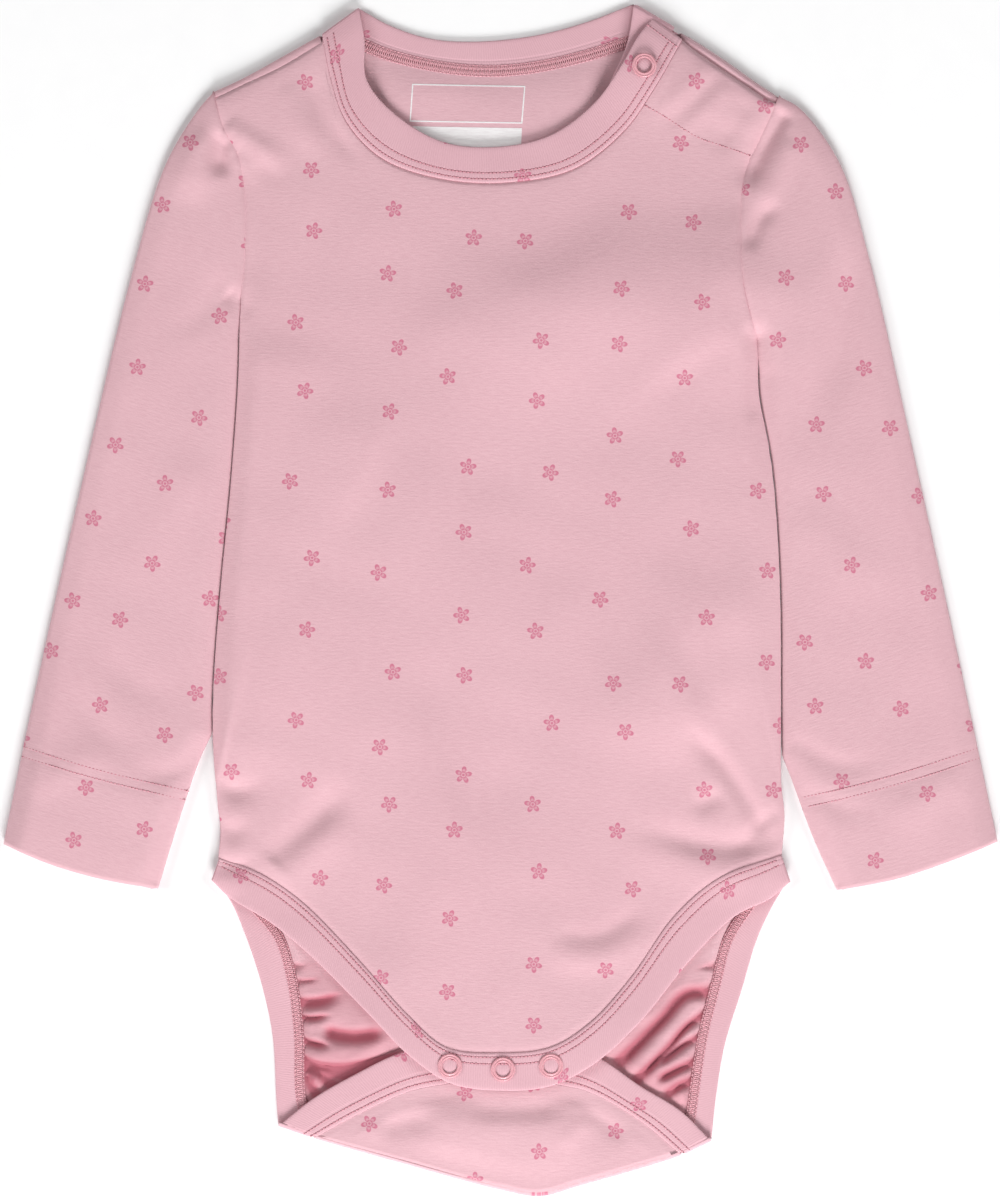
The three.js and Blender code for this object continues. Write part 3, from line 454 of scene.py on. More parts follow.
def front_height(xy):
    away = distance(BODY_EDGE, xy)
    rounded = 0.42 * round_over(away / EDGE_SOFTNESS) + 0.34 * smooth(away / 9) + 0.24 * smooth(away / 32)
    return SIDE_SEAM_TOP + (top_height(xy) - SIDE_SEAM_TOP) * rounded


def dip(seams, xy, width=1.5):
    """How far cloth drops into the seams beside it."""
    return SEAM_DIP * np.exp(-((distance(seams, xy) / width) ** 2))


def raised(rows, height):
    return np.concatenate([rows, np.broadcast_to(height, rows.shape[:-1])[..., None]], axis=-1)


def body_rows(foot, hips, top, legs, torso):
    """The plan of a body panel: its leg part, then its torso from the hips to the shoulders."""
    below = fill(foot, hips, legs["right"], legs["left"])
    return np.concatenate([below, fill(hips, top, torso["right"], torso["left"])[1:]])


def both(make):
    return {s: make(s) for s in ("right", "left")}


def edged(cells, power=1.7):
    """Fractions that lie closer together towards 0."""
    return even(cells) ** power


SHOULDER_COLUMNS, NECK_COLUMNS = 26, 118
LEG_ROWS, SIDE_ROWS, ARMHOLE_ROWS = 84, 108, 46
WAIST_SHARES = np.concatenate([
    0.13 * edged(SHOULDER_COLUMNS), 0.13 + 0.74 * even(NECK_COLUMNS)[1:-1],
    1 - 0.13 * edged(SHOULDER_COLUMNS)[::-1],
])
ARMHOLE_TOP = 0.97
corner = both(lambda s: along(ARMHOLE[s], [ARMHOLE_TOP])[0])
front_shoulder = both(lambda s: along(
    np.vstack([corner[s], SHOULDER_SEAM[s][STEPS // 4 :]]), edged(SHOULDER_COLUMNS)
))
front_rows = body_rows(
    along(FRONT_LEG_SEAM[CROTCH_START : CROTCH_END + 1], WAIST_SHARES),
    along(np.vstack([SIDE["right"][0], SIDE["left"][0]]), WAIST_SHARES),
    joined(front_shoulder["right"], along(NECK_SEAM, even(NECK_COLUMNS)), front_shoulder["left"][::-1]),
    {
        "right": along(FRONT_LEG_SEAM[: CROTCH_START + 1], even(LEG_ROWS))[::-1],
        "left": along(FRONT_LEG_SEAM[CROTCH_END:], even(LEG_ROWS)),
    },
    both(lambda s: joined(
        along(SIDE[s], even(SIDE_ROWS)), along(ARMHOLE[s], ARMHOLE_TOP * even(ARMHOLE_ROWS))
    )),
)
BODY_SEAMS = [NECK_SEAM, FRONT_LEG_SEAM, *SHOULDER_SEAM.values(), *ARMHOLE.values()]


def flowers(finish, grain):
    """The print's ink: five-petalled flowers scattered one to a square of cloth, each moved and turned by its
    own chance, with a paler heart in each petal and an eye."""
    parts = finish.value("ShaderNodeSeparateXYZ", {}, {0: grain})
    x = parts / (FLOWER_SQUARE * MM)
    y = parts.output("Y") / (FLOWER_SQUARE * MM)
    y = y + x.maths("FLOOR") * 0.37
    cell = finish.value("ShaderNodeCombineXYZ", {}, {0: x.maths("FLOOR"), 1: y.maths("FLOOR")})
    luck = finish.value("ShaderNodeTexWhiteNoise", {"noise_dimensions": "2D"}, {"Vector": cell}, "Color")
    lucks = finish.value("ShaderNodeSeparateColor", {}, {0: luck})
    jump_y, turn = lucks.output("Green"), lucks.output("Blue")
    u = (x.maths("FRACT") - 0.5 + (lucks - 0.5) * 0.42) * FLOWER_SQUARE
    v = (y.maths("FRACT") - 0.5 + (jump_y - 0.5) * 0.42) * FLOWER_SQUARE
    reach = (u * u + v * v).maths("SQRT")
    angle = v.maths("ARCTAN2", u) + turn * 6.28
    edge = (angle * 2.5).maths("COSINE").maths("ABSOLUTE").maths("POWER", 0.55) * PETAL
    inside = (edge - reach).between(-0.12, 0.22)
    pale_heart = (edge * 0.72 - reach + 0.05).between(-0.1, 0.5) * reach.between(1.2, 1.7)
    eye = 1 - reach.between(0.35, 0.75)
    return (inside * (1 - pale_heart * 0.55) * reach.between(0.75, 1.0) + eye).maths("MINIMUM", 1.0)


def jersey(name, printed):
    """Fine single jersey: short level slubs, wales as fine as the stitches, a little fuzz. Its plain reverse takes
    painted shade from a mesh attribute: deep rose down in the troughs of the seat's gathers and over the seat."""
    finish = Finish(name, Roughness=0.88, Specular_IOR_Level=0.22, Sheen_Weight=0.22, Sheen_Roughness=0.45)
    grain = finish.value("ShaderNodeUVMap", {"uv_map": "grain"})
    slubs = finish.noise(finish.stretched(grain, 250, 1250), 1, 3, 0.65)
    threads = finish.noise(finish.stretched(grain, 1300, 2400), 1, 2, 0.6)
    clouds = finish.noise(grain, 14, 3, 0.55)
    shade = slubs * 0.55 + threads * 0.3 + clouds * 0.15
    colour = shade.between(0.3, 0.7).over((0.665, 0.393, 0.44), (0.728, 0.456, 0.50))
    if printed:
        colour = (flowers(finish, grain) * (0.68 + threads * 0.35)).over(colour, INK)
    else:
        # Painted shade: where the mesh attribute is 1, the reverse turns to a deep rose that stands for the shade
        # down in the gathers.
        painted_shade = finish.value("ShaderNodeAttribute", {"attribute_name": "painted_shade"}, output="Fac")
        colour = (painted_shade * 0.9).over(colour, (0.43, 0.105, 0.145))
    height = slubs + threads * 0.45
    finish.give(finish.shader, {"Base Color": colour, "Normal": finish.relief(height, 0.00022, 0.5)})
    return finish.material


FLOWER_SQUARE = 31
PETAL = 3.5
INK = (0.57, 0.15, 0.24)
PRINTED = jersey("printed_jersey", True)
REVERSE = jersey("jersey_reverse", False)


def cloth(name, grids, finishes, node):
    """A closed wall of cloth that replaces its solid. Each grid gives the middle of the wall in rows, the
    cloth's own grain there, the half walls on its outer and inner side, and whether it faces the other way."""
    place, grain, outer, inner, quads = [], [], [], [], []
    count = 0
    for rows, cut, outer_half, inner_half, turned in grids:
        index = count + np.arange(rows.shape[0] * rows.shape[1]).reshape(rows.shape[:2])
        quad = np.stack([index[:-1, :-1], index[:-1, 1:], index[1:, 1:], index[1:, :-1]], axis=-1)
        quad = quad.reshape(-1, 4)
        quads.append(quad[:, ::-1] if turned else quad)
        place.append(rows.reshape(-1, 3))
        grain.append(cut.reshape(-1, 2))
        outer.append(np.broadcast_to(outer_half, rows.shape[:2]).reshape(-1))
        inner.append(np.broadcast_to(inner_half, rows.shape[:2]).reshape(-1))
        count += rows.shape[0] * rows.shape[1]
    place, grain, outer, inner, quads = (np.concatenate(part) for part in (place, grain, outer, inner, quads))
    rounded_place = np.round(place * 1000).astype(np.int64)
    _, first, same = np.unique(rounded_place, axis=0, return_index=True, return_inverse=True)
    same = same.reshape(-1)
    place, outer, inner = place[first], outer[first], inner[first]
    corners = same[quads]
    a, b, c, d = (place[corners[:, k]] for k in range(4))
    facing = np.cross(c - a, d - b)
    normal = np.zeros_like(place)
    for k in range(4):
        np.add.at(normal, corners[:, k], facing)
    normal /= np.linalg.norm(normal, axis=1, keepdims=True) + 1e-12
    total = len(place)
    points = np.concatenate([place + normal * outer[:, None], place - normal * inner[:, None]]) * MM

    ahead, ahead_raw = np.roll(corners, -1, axis=1), np.roll(quads, -1, axis=1)
    way = (corners * total + ahead).reshape(-1)
    back = (ahead * total + corners).reshape(-1)
    rim = np.nonzero(~np.isin(way, back) & (corners != ahead).reshape(-1))[0]
    m, n = corners.reshape(-1)[rim], ahead.reshape(-1)[rim]
    m_raw, n_raw = quads.reshape(-1)[rim], ahead_raw.reshape(-1)[rim]
    faces = np.concatenate([
        corners, corners[:, ::-1] + total, np.stack([m, m + total, n + total, n], axis=1)
    ])
    raw = np.concatenate([quads, quads[:, ::-1], np.stack([m_raw, m_raw, n_raw, n_raw], axis=1)])
    sides = np.repeat([0, 1, 0], [len(corners), len(corners), len(rim)])
    keep = faces != np.roll(faces, 1, axis=1)
    whole = keep.sum(axis=1) > 2
    faces, raw, sides, keep = faces[whole], raw[whole], sides[whole], keep[whole]
    starts = np.concatenate([[0], np.cumsum(keep.sum(axis=1))[:-1]])

    mesh = bpy.data.meshes.new(name)
    mesh.vertices.add(len(points))
    mesh.vertices.foreach_set("co", points.astype(np.float32).reshape(-1))
    mesh.loops.add(int(keep.sum()))
    mesh.loops.foreach_set("vertex_index", faces[keep].astype(np.int32))
    mesh.polygons.add(len(faces))
    mesh.polygons.foreach_set("loop_start", starts.astype(np.int32))
    mesh.polygons.foreach_set("material_index", sides.astype(np.int32))
    mesh.polygons.foreach_set("use_smooth", np.ones(len(faces), bool))
    mesh.update(calc_edges=True)
    mesh.uv_layers.new(name="grain")
    mesh.uv_layers["grain"].data.foreach_set("uv", (grain[raw[keep]] * MM).astype(np.float32).reshape(-1))
    for finish in finishes:
        mesh.materials.append(finish)
    mesh.validate()
    piece = bpy.data.objects.new(name, mesh)
    scene.collection.objects.link(piece)
    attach(piece, "root")
    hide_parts(node)
    return piece


FACING_ROW = traced((56, 198.8), (66, 193.2), (78.8, 185.2), (88, 182), (100, 178))
ARMHOLE_DIP = 0.4
front_place = raised(front_rows, front_height(front_rows) - dip(BODY_SEAMS, front_rows))
front_place[..., 2] -= ARMHOLE_DIP / SEAM_DIP * dip([*ARMHOLE.values()], front_rows, 0.8)
front_place[..., 2] -= 0.5 * dip([FACING_ROW], front_rows, 1.1)
front = cloth(
    "front_cloth", [(front_place, front_rows, JERSEY / 2, JERSEY / 2, False)],
    [PRINTED, REVERSE], "front_panel"
)


class Workings:
    """A geometry tree under construction, with a named input for each of its sizes."""

    def __init__(self, name, **inputs):
        self.tree = bpy.data.node_groups.new(name, "GeometryNodeTree")
        self.tree.is_modifier = True
        self.tree.interface.new_socket("Geometry", in_out="OUTPUT", socket_type="NodeSocketGeometry")
        for label, kind in {"Path": "Geometry", **inputs}.items():
            self.tree.interface.new_socket(label, in_out="INPUT", socket_type="NodeSocket" + kind)
        self.given = self.tree.nodes.new("NodeGroupInput").outputs

    def step(self, kind, settings=None, sockets=None, output=0):
        node = self.tree.nodes.new(kind)
        for key, value in (settings or {}).items():
            setattr(node, key, value)
        for key, value in (sockets or {}).items():
            for one in value if isinstance(value, list) else [value]:
                if isinstance(one, bpy.types.NodeSocket):
                    self.tree.links.new(one, node.inputs[key])
                else:
                    node.inputs[key].default_value = one
        return node.outputs[output] if len(node.outputs) else node

    def times(self, value, factor):
        return self.step("ShaderNodeMath", {"operation": "MULTIPLY"}, {0: value, 1: factor})

    def spaced(self, spacing):
        line = self.step("GeometryNodeMeshToCurve", {}, {"Mesh": self.given["Path"]})
        return self.step("GeometryNodeResampleCurve", {"mode": "LENGTH"}, {"Curve": line, "Length": spacing})

    def odd(self):
        index = self.step("GeometryNodeInputIndex")
        return self.step("ShaderNodeMath", {"operation": "MODULO"}, {0: index, 1: 2})

    def finished(self, geometry, finish):
        whole = self.step("GeometryNodeRealizeInstances", {}, {"Geometry": geometry})
        smooth_side = self.step("GeometryNodeSetShadeSmooth", {}, {"Geometry": whole})
        return self.step("GeometryNodeSetMaterial", {}, {"Geometry": smooth_side, "Material": finish})

    def hand_over(self, parts):
        joined_parts = self.step("GeometryNodeJoinGeometry", {}, {"Geometry": parts})
        self.step("NodeGroupOutput", {}, {"Geometry": joined_parts})
        return self.tree


def needle_row():
    """Stitches set one after another along a path: bars of thread, and between each two a flat bead of the Hole
    finish at the needle hole; a dark finish there is painted shade of the hole.
    """
    work = Workings(
        "needle_row", Pitch="Float", Length="Float", Thickness="Float",
        Seed="Int", Thread="Material", Hole="Material"
    )
    given = work.given
    line = work.spaced(work.times(given["Pitch"], 0.5))
    tangent = work.step("GeometryNodeInputTangent")
    turned = work.step(
        "FunctionNodeAxesToRotation", {"primary_axis": "X", "secondary_axis": "Z"}, {0: tangent, 1: (0, 0, 1)}
    )
    luck = work.step("FunctionNodeRandomValue", {}, {2: 0.88, 3: 1.1, "Seed": given["Seed"]}, 1)
    odd = work.odd()
    even_ones = work.step("ShaderNodeMath", {"operation": "SUBTRACT"}, {0: 1, 1: odd})
    parts = []
    for which, finish, sides, sizes in (
        (even_ones, given["Thread"], 8,
         (given["Length"], given["Thickness"], work.times(given["Thickness"], 0.8))),
        (odd, given["Hole"], 6,
         (*[work.times(given["Thickness"], 1.15)] * 2, work.times(given["Thickness"], 0.3))),
    ):
        ball = work.step("GeometryNodeMeshUVSphere", {}, {"Segments": sides, "Rings": sides // 2, "Radius": 0.5})
        size = work.step("ShaderNodeCombineXYZ", {}, dict(enumerate(sizes)))
        bead = work.step("GeometryNodeTransform", {}, {"Geometry": ball, "Scale": size})
        parts.append(work.finished(work.step("GeometryNodeInstanceOnPoints", {}, {
            "Points": line, "Selection": which, "Instance": bead, "Rotation": turned, "Scale": luck,
        }), finish))
    return work.hand_over(parts)


def thread(name, deep, pale):
    """Spun polyester thread: fine twist, a dull sheen."""
    finish = Finish(name, Roughness=0.62, Specular_IOR_Level=0.35, Sheen_Weight=0.15)
    place = finish.value("ShaderNodeTexCoord", output="Object")
    twist = finish.noise(finish.stretched(place, 5200, 5200, 5200), 1, 2, 0.6)
    finish.give(finish.shader, {"Base Color": twist.over(deep, pale), "Normal": finish.relief(twist, 0.0001, 0.5)})
    return finish.material


NEEDLE_THREAD = thread("needle_thread", (0.56, 0.215, 0.27), (0.68, 0.31, 0.365))
LOOPER_THREAD = thread("looper_thread", (0.68, 0.325, 0.375), (0.82, 0.46, 0.51))
# Painted shade: dark rose beads laid between the stitches stand for the shade inside the needle holes.
NEEDLE_HOLE_SHADE = thread("needle_hole_shade", (0.28, 0.085, 0.115), (0.35, 0.12, 0.15))
NEEDLE_ROW = needle_row()
STITCHES = {
    "Pitch": 1.5 * MM, "Length": 1.15 * MM, "Thickness": 0.6 * MM,
    "Thread": NEEDLE_THREAD, "Hole": NEEDLE_HOLE_SHADE,
}


def sewn(name, tree, lines, slot, **sizes):
    """The tree's work along the lines, made a plain mesh."""
    starts = np.cumsum([0, *map(len, lines)])
    edges = [(k, k + 1) for a, b in zip(starts, starts[1:]) for k in range(a, b - 1)]
    mesh = bpy.data.meshes.new(name)
    mesh.from_pydata(np.vstack(lines) * MM, edges, [])
    piece = bpy.data.objects.new(name, mesh)
    scene.collection.objects.link(piece)
    making = piece.modifiers.new("making", "NODES")
    making.node_group = tree
    for item in tree.interface.items_tree:
        if item.name in sizes:
            making[item.identifier] = sizes[item.name]
    graph = bpy.context.evaluated_depsgraph_get()
    finished = bpy.data.meshes.new_from_object(piece.evaluated_get(graph))
    piece.modifiers.clear()
    piece.data = finished
    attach(piece, "root")
    return piece


SUNK = 0.02
facing = raised(FACING_ROW, front_height(FACING_ROW) - SEAM_DIP / 2 + JERSEY / 2 - SUNK)
sewn("facing_stitches", NEEDLE_ROW, [facing], "printed_jersey", Seed=1, **STITCHES)


# Back panel
# The same jersey, cut longer: its tail folds up over the crotch as a flap, and its shoulders roll forward.
# Elastic thread in the leg seams draws the seat into gathers, whose plain reverse side shows beside the legs.
SIDE_SEAM_UNDER = 1.1
UNDER_SOFTNESS = 2
FLAP_END_HEIGHT = 3
CREST_LOFT = 0.4
BINDING = 1.6
UNDERLAP_HEIGHT = 2.6
FOLDED_INNER = 0.1
BACK_NECK_SEAM = traced(
    (-71.4, 225.6), (-60, 224.4), (-46, 219), (-26, 214), (-4, 212), (18, 214.2), (40, 219.8), (56, 225),
    (72.4, 226.6),
)
UNDERLAP_EDGE = traced((107.4, 191.6), (94, 199.4), (81, 208), (72.6, 213.6))
BACK_LEG_SEAM = {
    "right": traced(
        (-74.6, -214.8), (-78.4, -198), (-79, -174), (-82, -151), (-87.4, -134), (-98, -121), (-112, -104.6),
    ),
    "left": traced(
        (72.6, -221.6), (75.4, -203), (79.4, -176), (84.8, -154), (90, -135), (98.6, -121.6), (112, -103.4),
    ),
}
CROTCH_FOLD = traced(
    (-88.8, -210.6), (-74.6, -215.4), (-40, -225.2), (0, -236), (16, -238.6), (32, -234.4), (72.6, -222.2),
    (84.6, -216.6),
)
FLAP_SEAM = {
    "right": traced((-74.6, -215.4), (-56, -205.4), (-36, -196.6), (-20, -193.4)),
    "left": traced((72.6, -222.2), (56, -208.4), (36, -197), (20, -193.4)),
}
# Where the seam's pull cuts into the seat's slack, and the folds of the flap, written as those of the upper
# side
SEAT_TROUGHS = [
    (((-86, -147), (-78, -146), (-71, -145.6)), 1.8, 1.3, 2.2, 0, 0.8),
    (((-80, -152.4), (-75, -152), (-70, -150.6)), 1.8, 1.1, 1.6, 0, 0.7),
    (((-80, -160.6), (-72, -160), (-60, -156.0)), 3.4, 1.5, 3.4, 0, 0.6),
    (((-80, -167), (-74, -167), (-66, -165.4)), 3.0, 1.1, 1.8, 0, 0.6),
    (((-72, -171.6), (-64, -173.6), (-56, -174), (-44, -172)), 3.6, 2.2, 3.6, 0.2, 0.3),
    (((-79, -176), (-74, -177.2), (-66, -179)), 3.2, 1.2, 2.0, 0, 0.6),
    (((-79, -183.6), (-72, -186), (-62, -186.6), (-50, -184.4), (-38, -181.6)), 3.6, 1.4, 4.6, 0, 0.1),
    (((-77, -189.6), (-75.4, -194.6), (-71, -202)), 3.2, 1.5, 1.6, 0.1, 0.1),
    (((-72.6, -188), (-68, -193.4), (-61, -198)), 3.4, 1.8, 1.9, 0.1, 0.1),
    (((-64, -188), (-58, -191), (-52, -192)), 3.4, 2.0, 3.0, 0.1, 0.1),
    (((89, -147.4), (82, -147), (75, -149.6)), 2.0, 1.3, 2.2, 0, 0.8),
    (((87, -158.4), (80, -157.2), (74, -158.4), (65, -168), (56, -177), (46, -187)), 3.6, 2.6, 3.2, 0, 0.05),
    (((82, -166), (78, -168.4), (74, -171.4), (68.6, -178), (61, -186), (53, -194)), 3.5, 1.8, 2.1, 0, 0.05),
    (((79, -175.4), (74, -178), (62, -187)), 3.2, 1.5, 2.0, 0, 0.3),
    (((78, -185), (72, -187.6), (62, -193)), 3.2, 1.6, 2.1, 0, 0.3),
    (((77, -193), (72, -194.6), (65, -200)), 3.0, 1.6, 2.2, 0, 0.3),
]
SEAT_SLACK = 3.5
NECK_RISE = [
    (((-52, 210), (-26, 204.5), (-4, 202.5), (18, 204.8), (44, 211)), 1.2, 7, 26, 0.1, 0.1),
    (((-56, 198), (0, 188), (52, 198)), 1.4, 12, 20, 0.2, 0.2),
]
FLAP_FOLDS = [
    (((-40, -208), (-16, -210), (14, -211), (42, -208)), 1.7, 7, 18, 0.3, 0.3),
    (((-50, -214), (-38, -209), (-22, -208)), -1.0, 4, 5, 0.3, 0.4),
    (((-16, -203), (8, -204), (30, -201)), -0.8, 4, 5, 0.3, 0.3),
    (((52, -216), (40, -208), (30, -204)), -0.9, 4, 4, 0.3, 0.4),
    (((24, -222), (30, -212), (44, -206)), 0.7, 4, 4, 0.3, 0.4),
]


FLAP_FREE = {
    "right": traced((-88.8, -210.6), (-74, -199), (-56, -188.8), (-42, -182), (-30, -178.6), (0, -178)),
    "left": traced((84.6, -216.6), (72, -204.2), (56, -194.4), (42, -184.6), (30, -178.8), (0, -178)),
}
flap_reach = np.vstack([FLAP_FREE["right"], FLAP_FREE["left"][::-1][1:]])


def pulled_in(xy):
    return fold_height(SEAT_TROUGHS, xy, True)


def back_height(xy):
    """The seat's slack stands up between the leg seams' gathers and the flap, and the neck rises a little."""
    off_seam = smooth(distance([*BACK_LEG_SEAM.values()], xy) / 4)
    off_flap = smooth((xy[..., 1] - np.interp(xy[..., 0], *flap_reach.T)) / 8)
    slack = SEAT_SLACK * off_seam * off_flap * smooth((-124 - xy[..., 1]) / 20)
    slack = slack + unevenness(xy, 5, [(7, 0.15), (16, 0.3)]) * slack / SEAT_SLACK - pulled_in(xy)
    room = front_height(xy) - (JERSEY + BINDING) / 2 - 0.8
    lifted = JERSEY / 2 + np.maximum(slack, 0) + fold_height(NECK_RISE, xy)
    lifted = np.minimum(lifted, np.maximum(room, JERSEY / 2))
    rounded = round_over(distance(BODY_EDGE, xy) / UNDER_SOFTNESS)
    return lifted + (SIDE_SEAM_UNDER - JERSEY / 2) * (1 - rounded)


def fold_over(edge, outwards, low, high, wall, steps=10):
    """Cloth rolled over along an edge, from height low up to height high."""
    high = np.reshape(high, (-1, 1))
    radius = (high - low) / 2
    angles = np.radians(np.linspace(-90, 90, steps + 1))[:, None, None]
    inset = wall / 2 + radius * (1 - np.cos(angles))
    plan = edge[None] - outwards[None] * inset
    height = (low + high) / 2 + radius * np.sin(angles)
    return np.concatenate([plan, np.broadcast_to(height, (*plan.shape[:2], 1))], axis=-1)


def outwards_of(line):
    return line - shifted(line, 1.0)


SHOULDER_BACK, NECK_BACK = 20, 76
BACK_SHARES = np.concatenate([
    0.13 * edged(SHOULDER_BACK), 0.13 + 0.74 * even(NECK_BACK)[1:-1], 1 - 0.13 * edged(SHOULDER_BACK)[::-1],
])
SEAT_ROWS, BACK_SIDE_ROWS, BACK_ARMHOLE_ROWS = 220, 44, 30
fold_line = along(CROTCH_FOLD[STEPS : 6 * STEPS + 1], BACK_SHARES)
crest_height = FLAP_END_HEIGHT + CREST_LOFT * smooth(distance([*FLAP_SEAM.values()], fold_line) / 24)
roll = fold_over(fold_line, outwards_of(fold_line), JERSEY / 2, crest_height, JERSEY)
foot = roll[0, :, :2]
back_shoulder = {
    "right": along(shifted(SHOULDER_FOLD["right"], -JERSEY / 2), edged(SHOULDER_BACK)),
    "left": along(shifted(SHOULDER_FOLD["left"], JERSEY / 2), edged(SHOULDER_BACK)),
}
back_plan = body_rows(
    foot,
    along(np.vstack([SIDE["right"][0], SIDE["left"][0]]), BACK_SHARES),
    joined(back_shoulder["right"], along(BACK_NECK_SEAM, even(NECK_BACK)), back_shoulder["left"][::-1]),
    both(lambda s: np.vstack([
        foot[0 if s == "right" else -1],
        along(BACK_LEG_SEAM[s], even(SEAT_ROWS))[1:-1],
        SIDE[s][0],
    ])),
    both(lambda s: np.vstack([
        along(SIDE[s], even(BACK_SIDE_ROWS)),
        along(ARMHOLE[s], ARMHOLE_TOP * even(BACK_ARMHOLE_ROWS))[1:],
        back_shoulder[s][0],
    ])),
)
back_rows = raised(back_plan, back_height(back_plan))
back_rows[0] = roll[0]

right_edge = np.vstack([corner["right"], SHOULDER_SEAM["right"][4:]])
right_edge = shifted(along(right_edge, edged(SHOULDER_BACK)), SEAM_GAP)
under_edge = along(UNDERLAP_EDGE[::-1], 1 - edged(SHOULDER_BACK)[::-1])
shoulder_rolls = [
    (slice(0, SHOULDER_BACK + 1), right_edge, front_height(right_edge) - SEAM_DIP),
    (slice(-SHOULDER_BACK - 1, None), under_edge,
     np.minimum(UNDERLAP_HEIGHT, front_height(under_edge) - JERSEY - 0.4)),
]
back_inner = np.full(back_rows.shape[:2], JERSEY / 2)
for columns, edge, tops in shoulder_rolls:
    back_rows[-1, columns, 2] = (JERSEY / 2 + tops) / 2
    back_inner[-1, columns] = FOLDED_INNER
back_grids = [(back_rows, back_plan, JERSEY / 2, back_inner, True)]
for (columns, edge, tops), rounding in zip(shoulder_rolls, (0, 1.0)):
    base = back_rows[-1, columns]
    share = np.linspace(0, 1, 13)[:, None]
    plan = base[None, :, :2] + (edge - base[:, :2])[None] * share[..., None]
    height = base[None, :, 2] + (tops - base[:, 2])[None] * round_over(share * 1.1)
    height = height + rounding * np.exp(-(((share - 0.13) / 0.1) ** 2))
    back_grids.append((raised(plan, height), plan + (0, 3), JERSEY / 2, JERSEY / 2, True))
    back_grids[-1][0][0] = base

flap_end = along(np.vstack([FLAP_SEAM["right"][-1], FLAP_SEAM["left"][-1]]), BACK_SHARES)
crest = roll[-1, :, :2]
FLAP_ROWS = 34
flap_plan = fill(crest, flap_end, *(
    np.vstack([crest[0 if s == "right" else -1], along(FLAP_SEAM[s], even(FLAP_ROWS))[1:]])
    for s in ("right", "left")
))
at_end = smooth((flap_plan[..., 1] + 204) / 11)
off_crest = smooth(np.linalg.norm(flap_plan - crest, axis=-1) / 12)
flap_loft = 0.4 + fold_height(FLAP_FOLDS, flap_plan) + unevenness(flap_plan, 9, [(30, 0.15), (15, 0.07)])
off_sides = smooth(distance([*FLAP_SEAM.values()], flap_plan) / 24)
flap_loft = FLAP_END_HEIGHT + CREST_LOFT * off_sides + flap_loft * off_crest * smooth(off_sides * 4)
flap_loft = flap_loft - dip([*FLAP_SEAM.values()], flap_plan)
flap_rows = raised(flap_plan, flap_loft + (FLAP_END_HEIGHT - flap_loft) * at_end)
flap_rows[0] = roll[-1]
turn_up = 2 * fold_line[:, 1].mean()
back_grids += [
    (roll, np.broadcast_to(foot, roll.shape[:2] + (2,)), JERSEY / 2, JERSEY / 2, False),
    (flap_rows, flap_plan * (1, -1) + (0, turn_up), JERSEY / 2, JERSEY / 2, False),
]
back = cloth("back_cloth", back_grids, [PRINTED, REVERSE], "back_panel")
# Painted shade for the seat's reverse, kept as a mesh attribute: dark in the troughs the leg seams pull in, darker
# on the wearer's right side of the seat, and darker again lower down towards the crotch.
spots = np.empty(3 * len(back.data.vertices), np.float32)
back.data.vertices.foreach_get("co", spots)
spots = spots.reshape(-1, 3)[:, :2] / MM
shade = (0.14 + 0.16 * (spots[:, 0] < 0)) * smooth((-140 - spots[:, 1]) / 14)
shade = shade + 0.3 * smooth((-174 - spots[:, 1]) / 20)
painted_shade = np.clip(pulled_in(spots) / SEAT_SLACK + shade, 0, 1)
back.data.attributes.new("painted_shade", "FLOAT", "POINT").data.foreach_set("value", painted_shade.astype(np.float32))


# Sleeves
# Each is one piece of jersey sewn into a tube and set into its armhole, laid flat beside the body. Its grain
# runs with the arm, and its hem is turned in to a depth of 40 mm and held by a twin-needle row.
SIDE_GAP = 1.25
SLEEVE_FOLD = 2.1
HEM_DEPTH = 40
HEM_EXTRA = 0.9
SLEEVE_OUTER = {
    "right": traced((-114.4, 203.6), (-121, 196), (-134, 174), (-148, 128),
        (-168, 44), (-186.8, -40), (-198.8, -97.6)),
    "left": traced((111.6, 201.6), (120, 196.8), (136, 174.8), (148, 136),
        (164.4, 64), (182, -16), (199.2, -96.6)),
}
SLEEVE_INNER_FREE = {
    "right": traced((-115.6, -53), (-120.4, -63), (-128, -84.8), (-137.4, -115.4)),
    "left": traced((113.4, -62), (117, -71), (126, -95.2), (135.4, -116)),
}
CUFF = {
    "right": traced((-198.8, -97.6), (-180, -105.4), (-160, -111.2), (-137.4, -115.4)),
    "left": traced((199.2, -96.6), (184, -102.8), (160, -111), (135.4, -116)),
}
CUFF_ROWS = {
    "right": [
        traced((-190.4, -58.8), (-160, -68), (-124.8, -76.4)),
        traced((-191.2, -62.6), (-160, -71.6), (-126, -79.9)),
    ],
    "left": [
        traced((122, -78.8), (144, -73.6), (168, -66.8), (190.6, -59.4)),
        traced((123.4, -82.6), (145, -77.4), (169, -70.6), (191.4, -63.3)),
    ],
}
SEAT_STEPS, FOLD_STEPS, ACROSS_STEPS = 58, 150, 54
across = 0.5 - 0.5 * np.cos(np.pi * even(ACROSS_STEPS))
across = 0.55 * across + 0.45 * even(ACROSS_STEPS)


def sleeve_top(xy, folds):
    edge = distance(folds, xy)
    rounded = 0.46 * round_over(edge / EDGE_SOFTNESS) + 0.34 * smooth(edge / 9) + 0.2 * smooth(edge / 24)
    needled = 0.7 * dip([row for rows in CUFF_ROWS.values() for row in rows], xy, 1.0)
    return SLEEVE_FOLD + (top_height(xy) - SLEEVE_FOLD) * rounded - needled


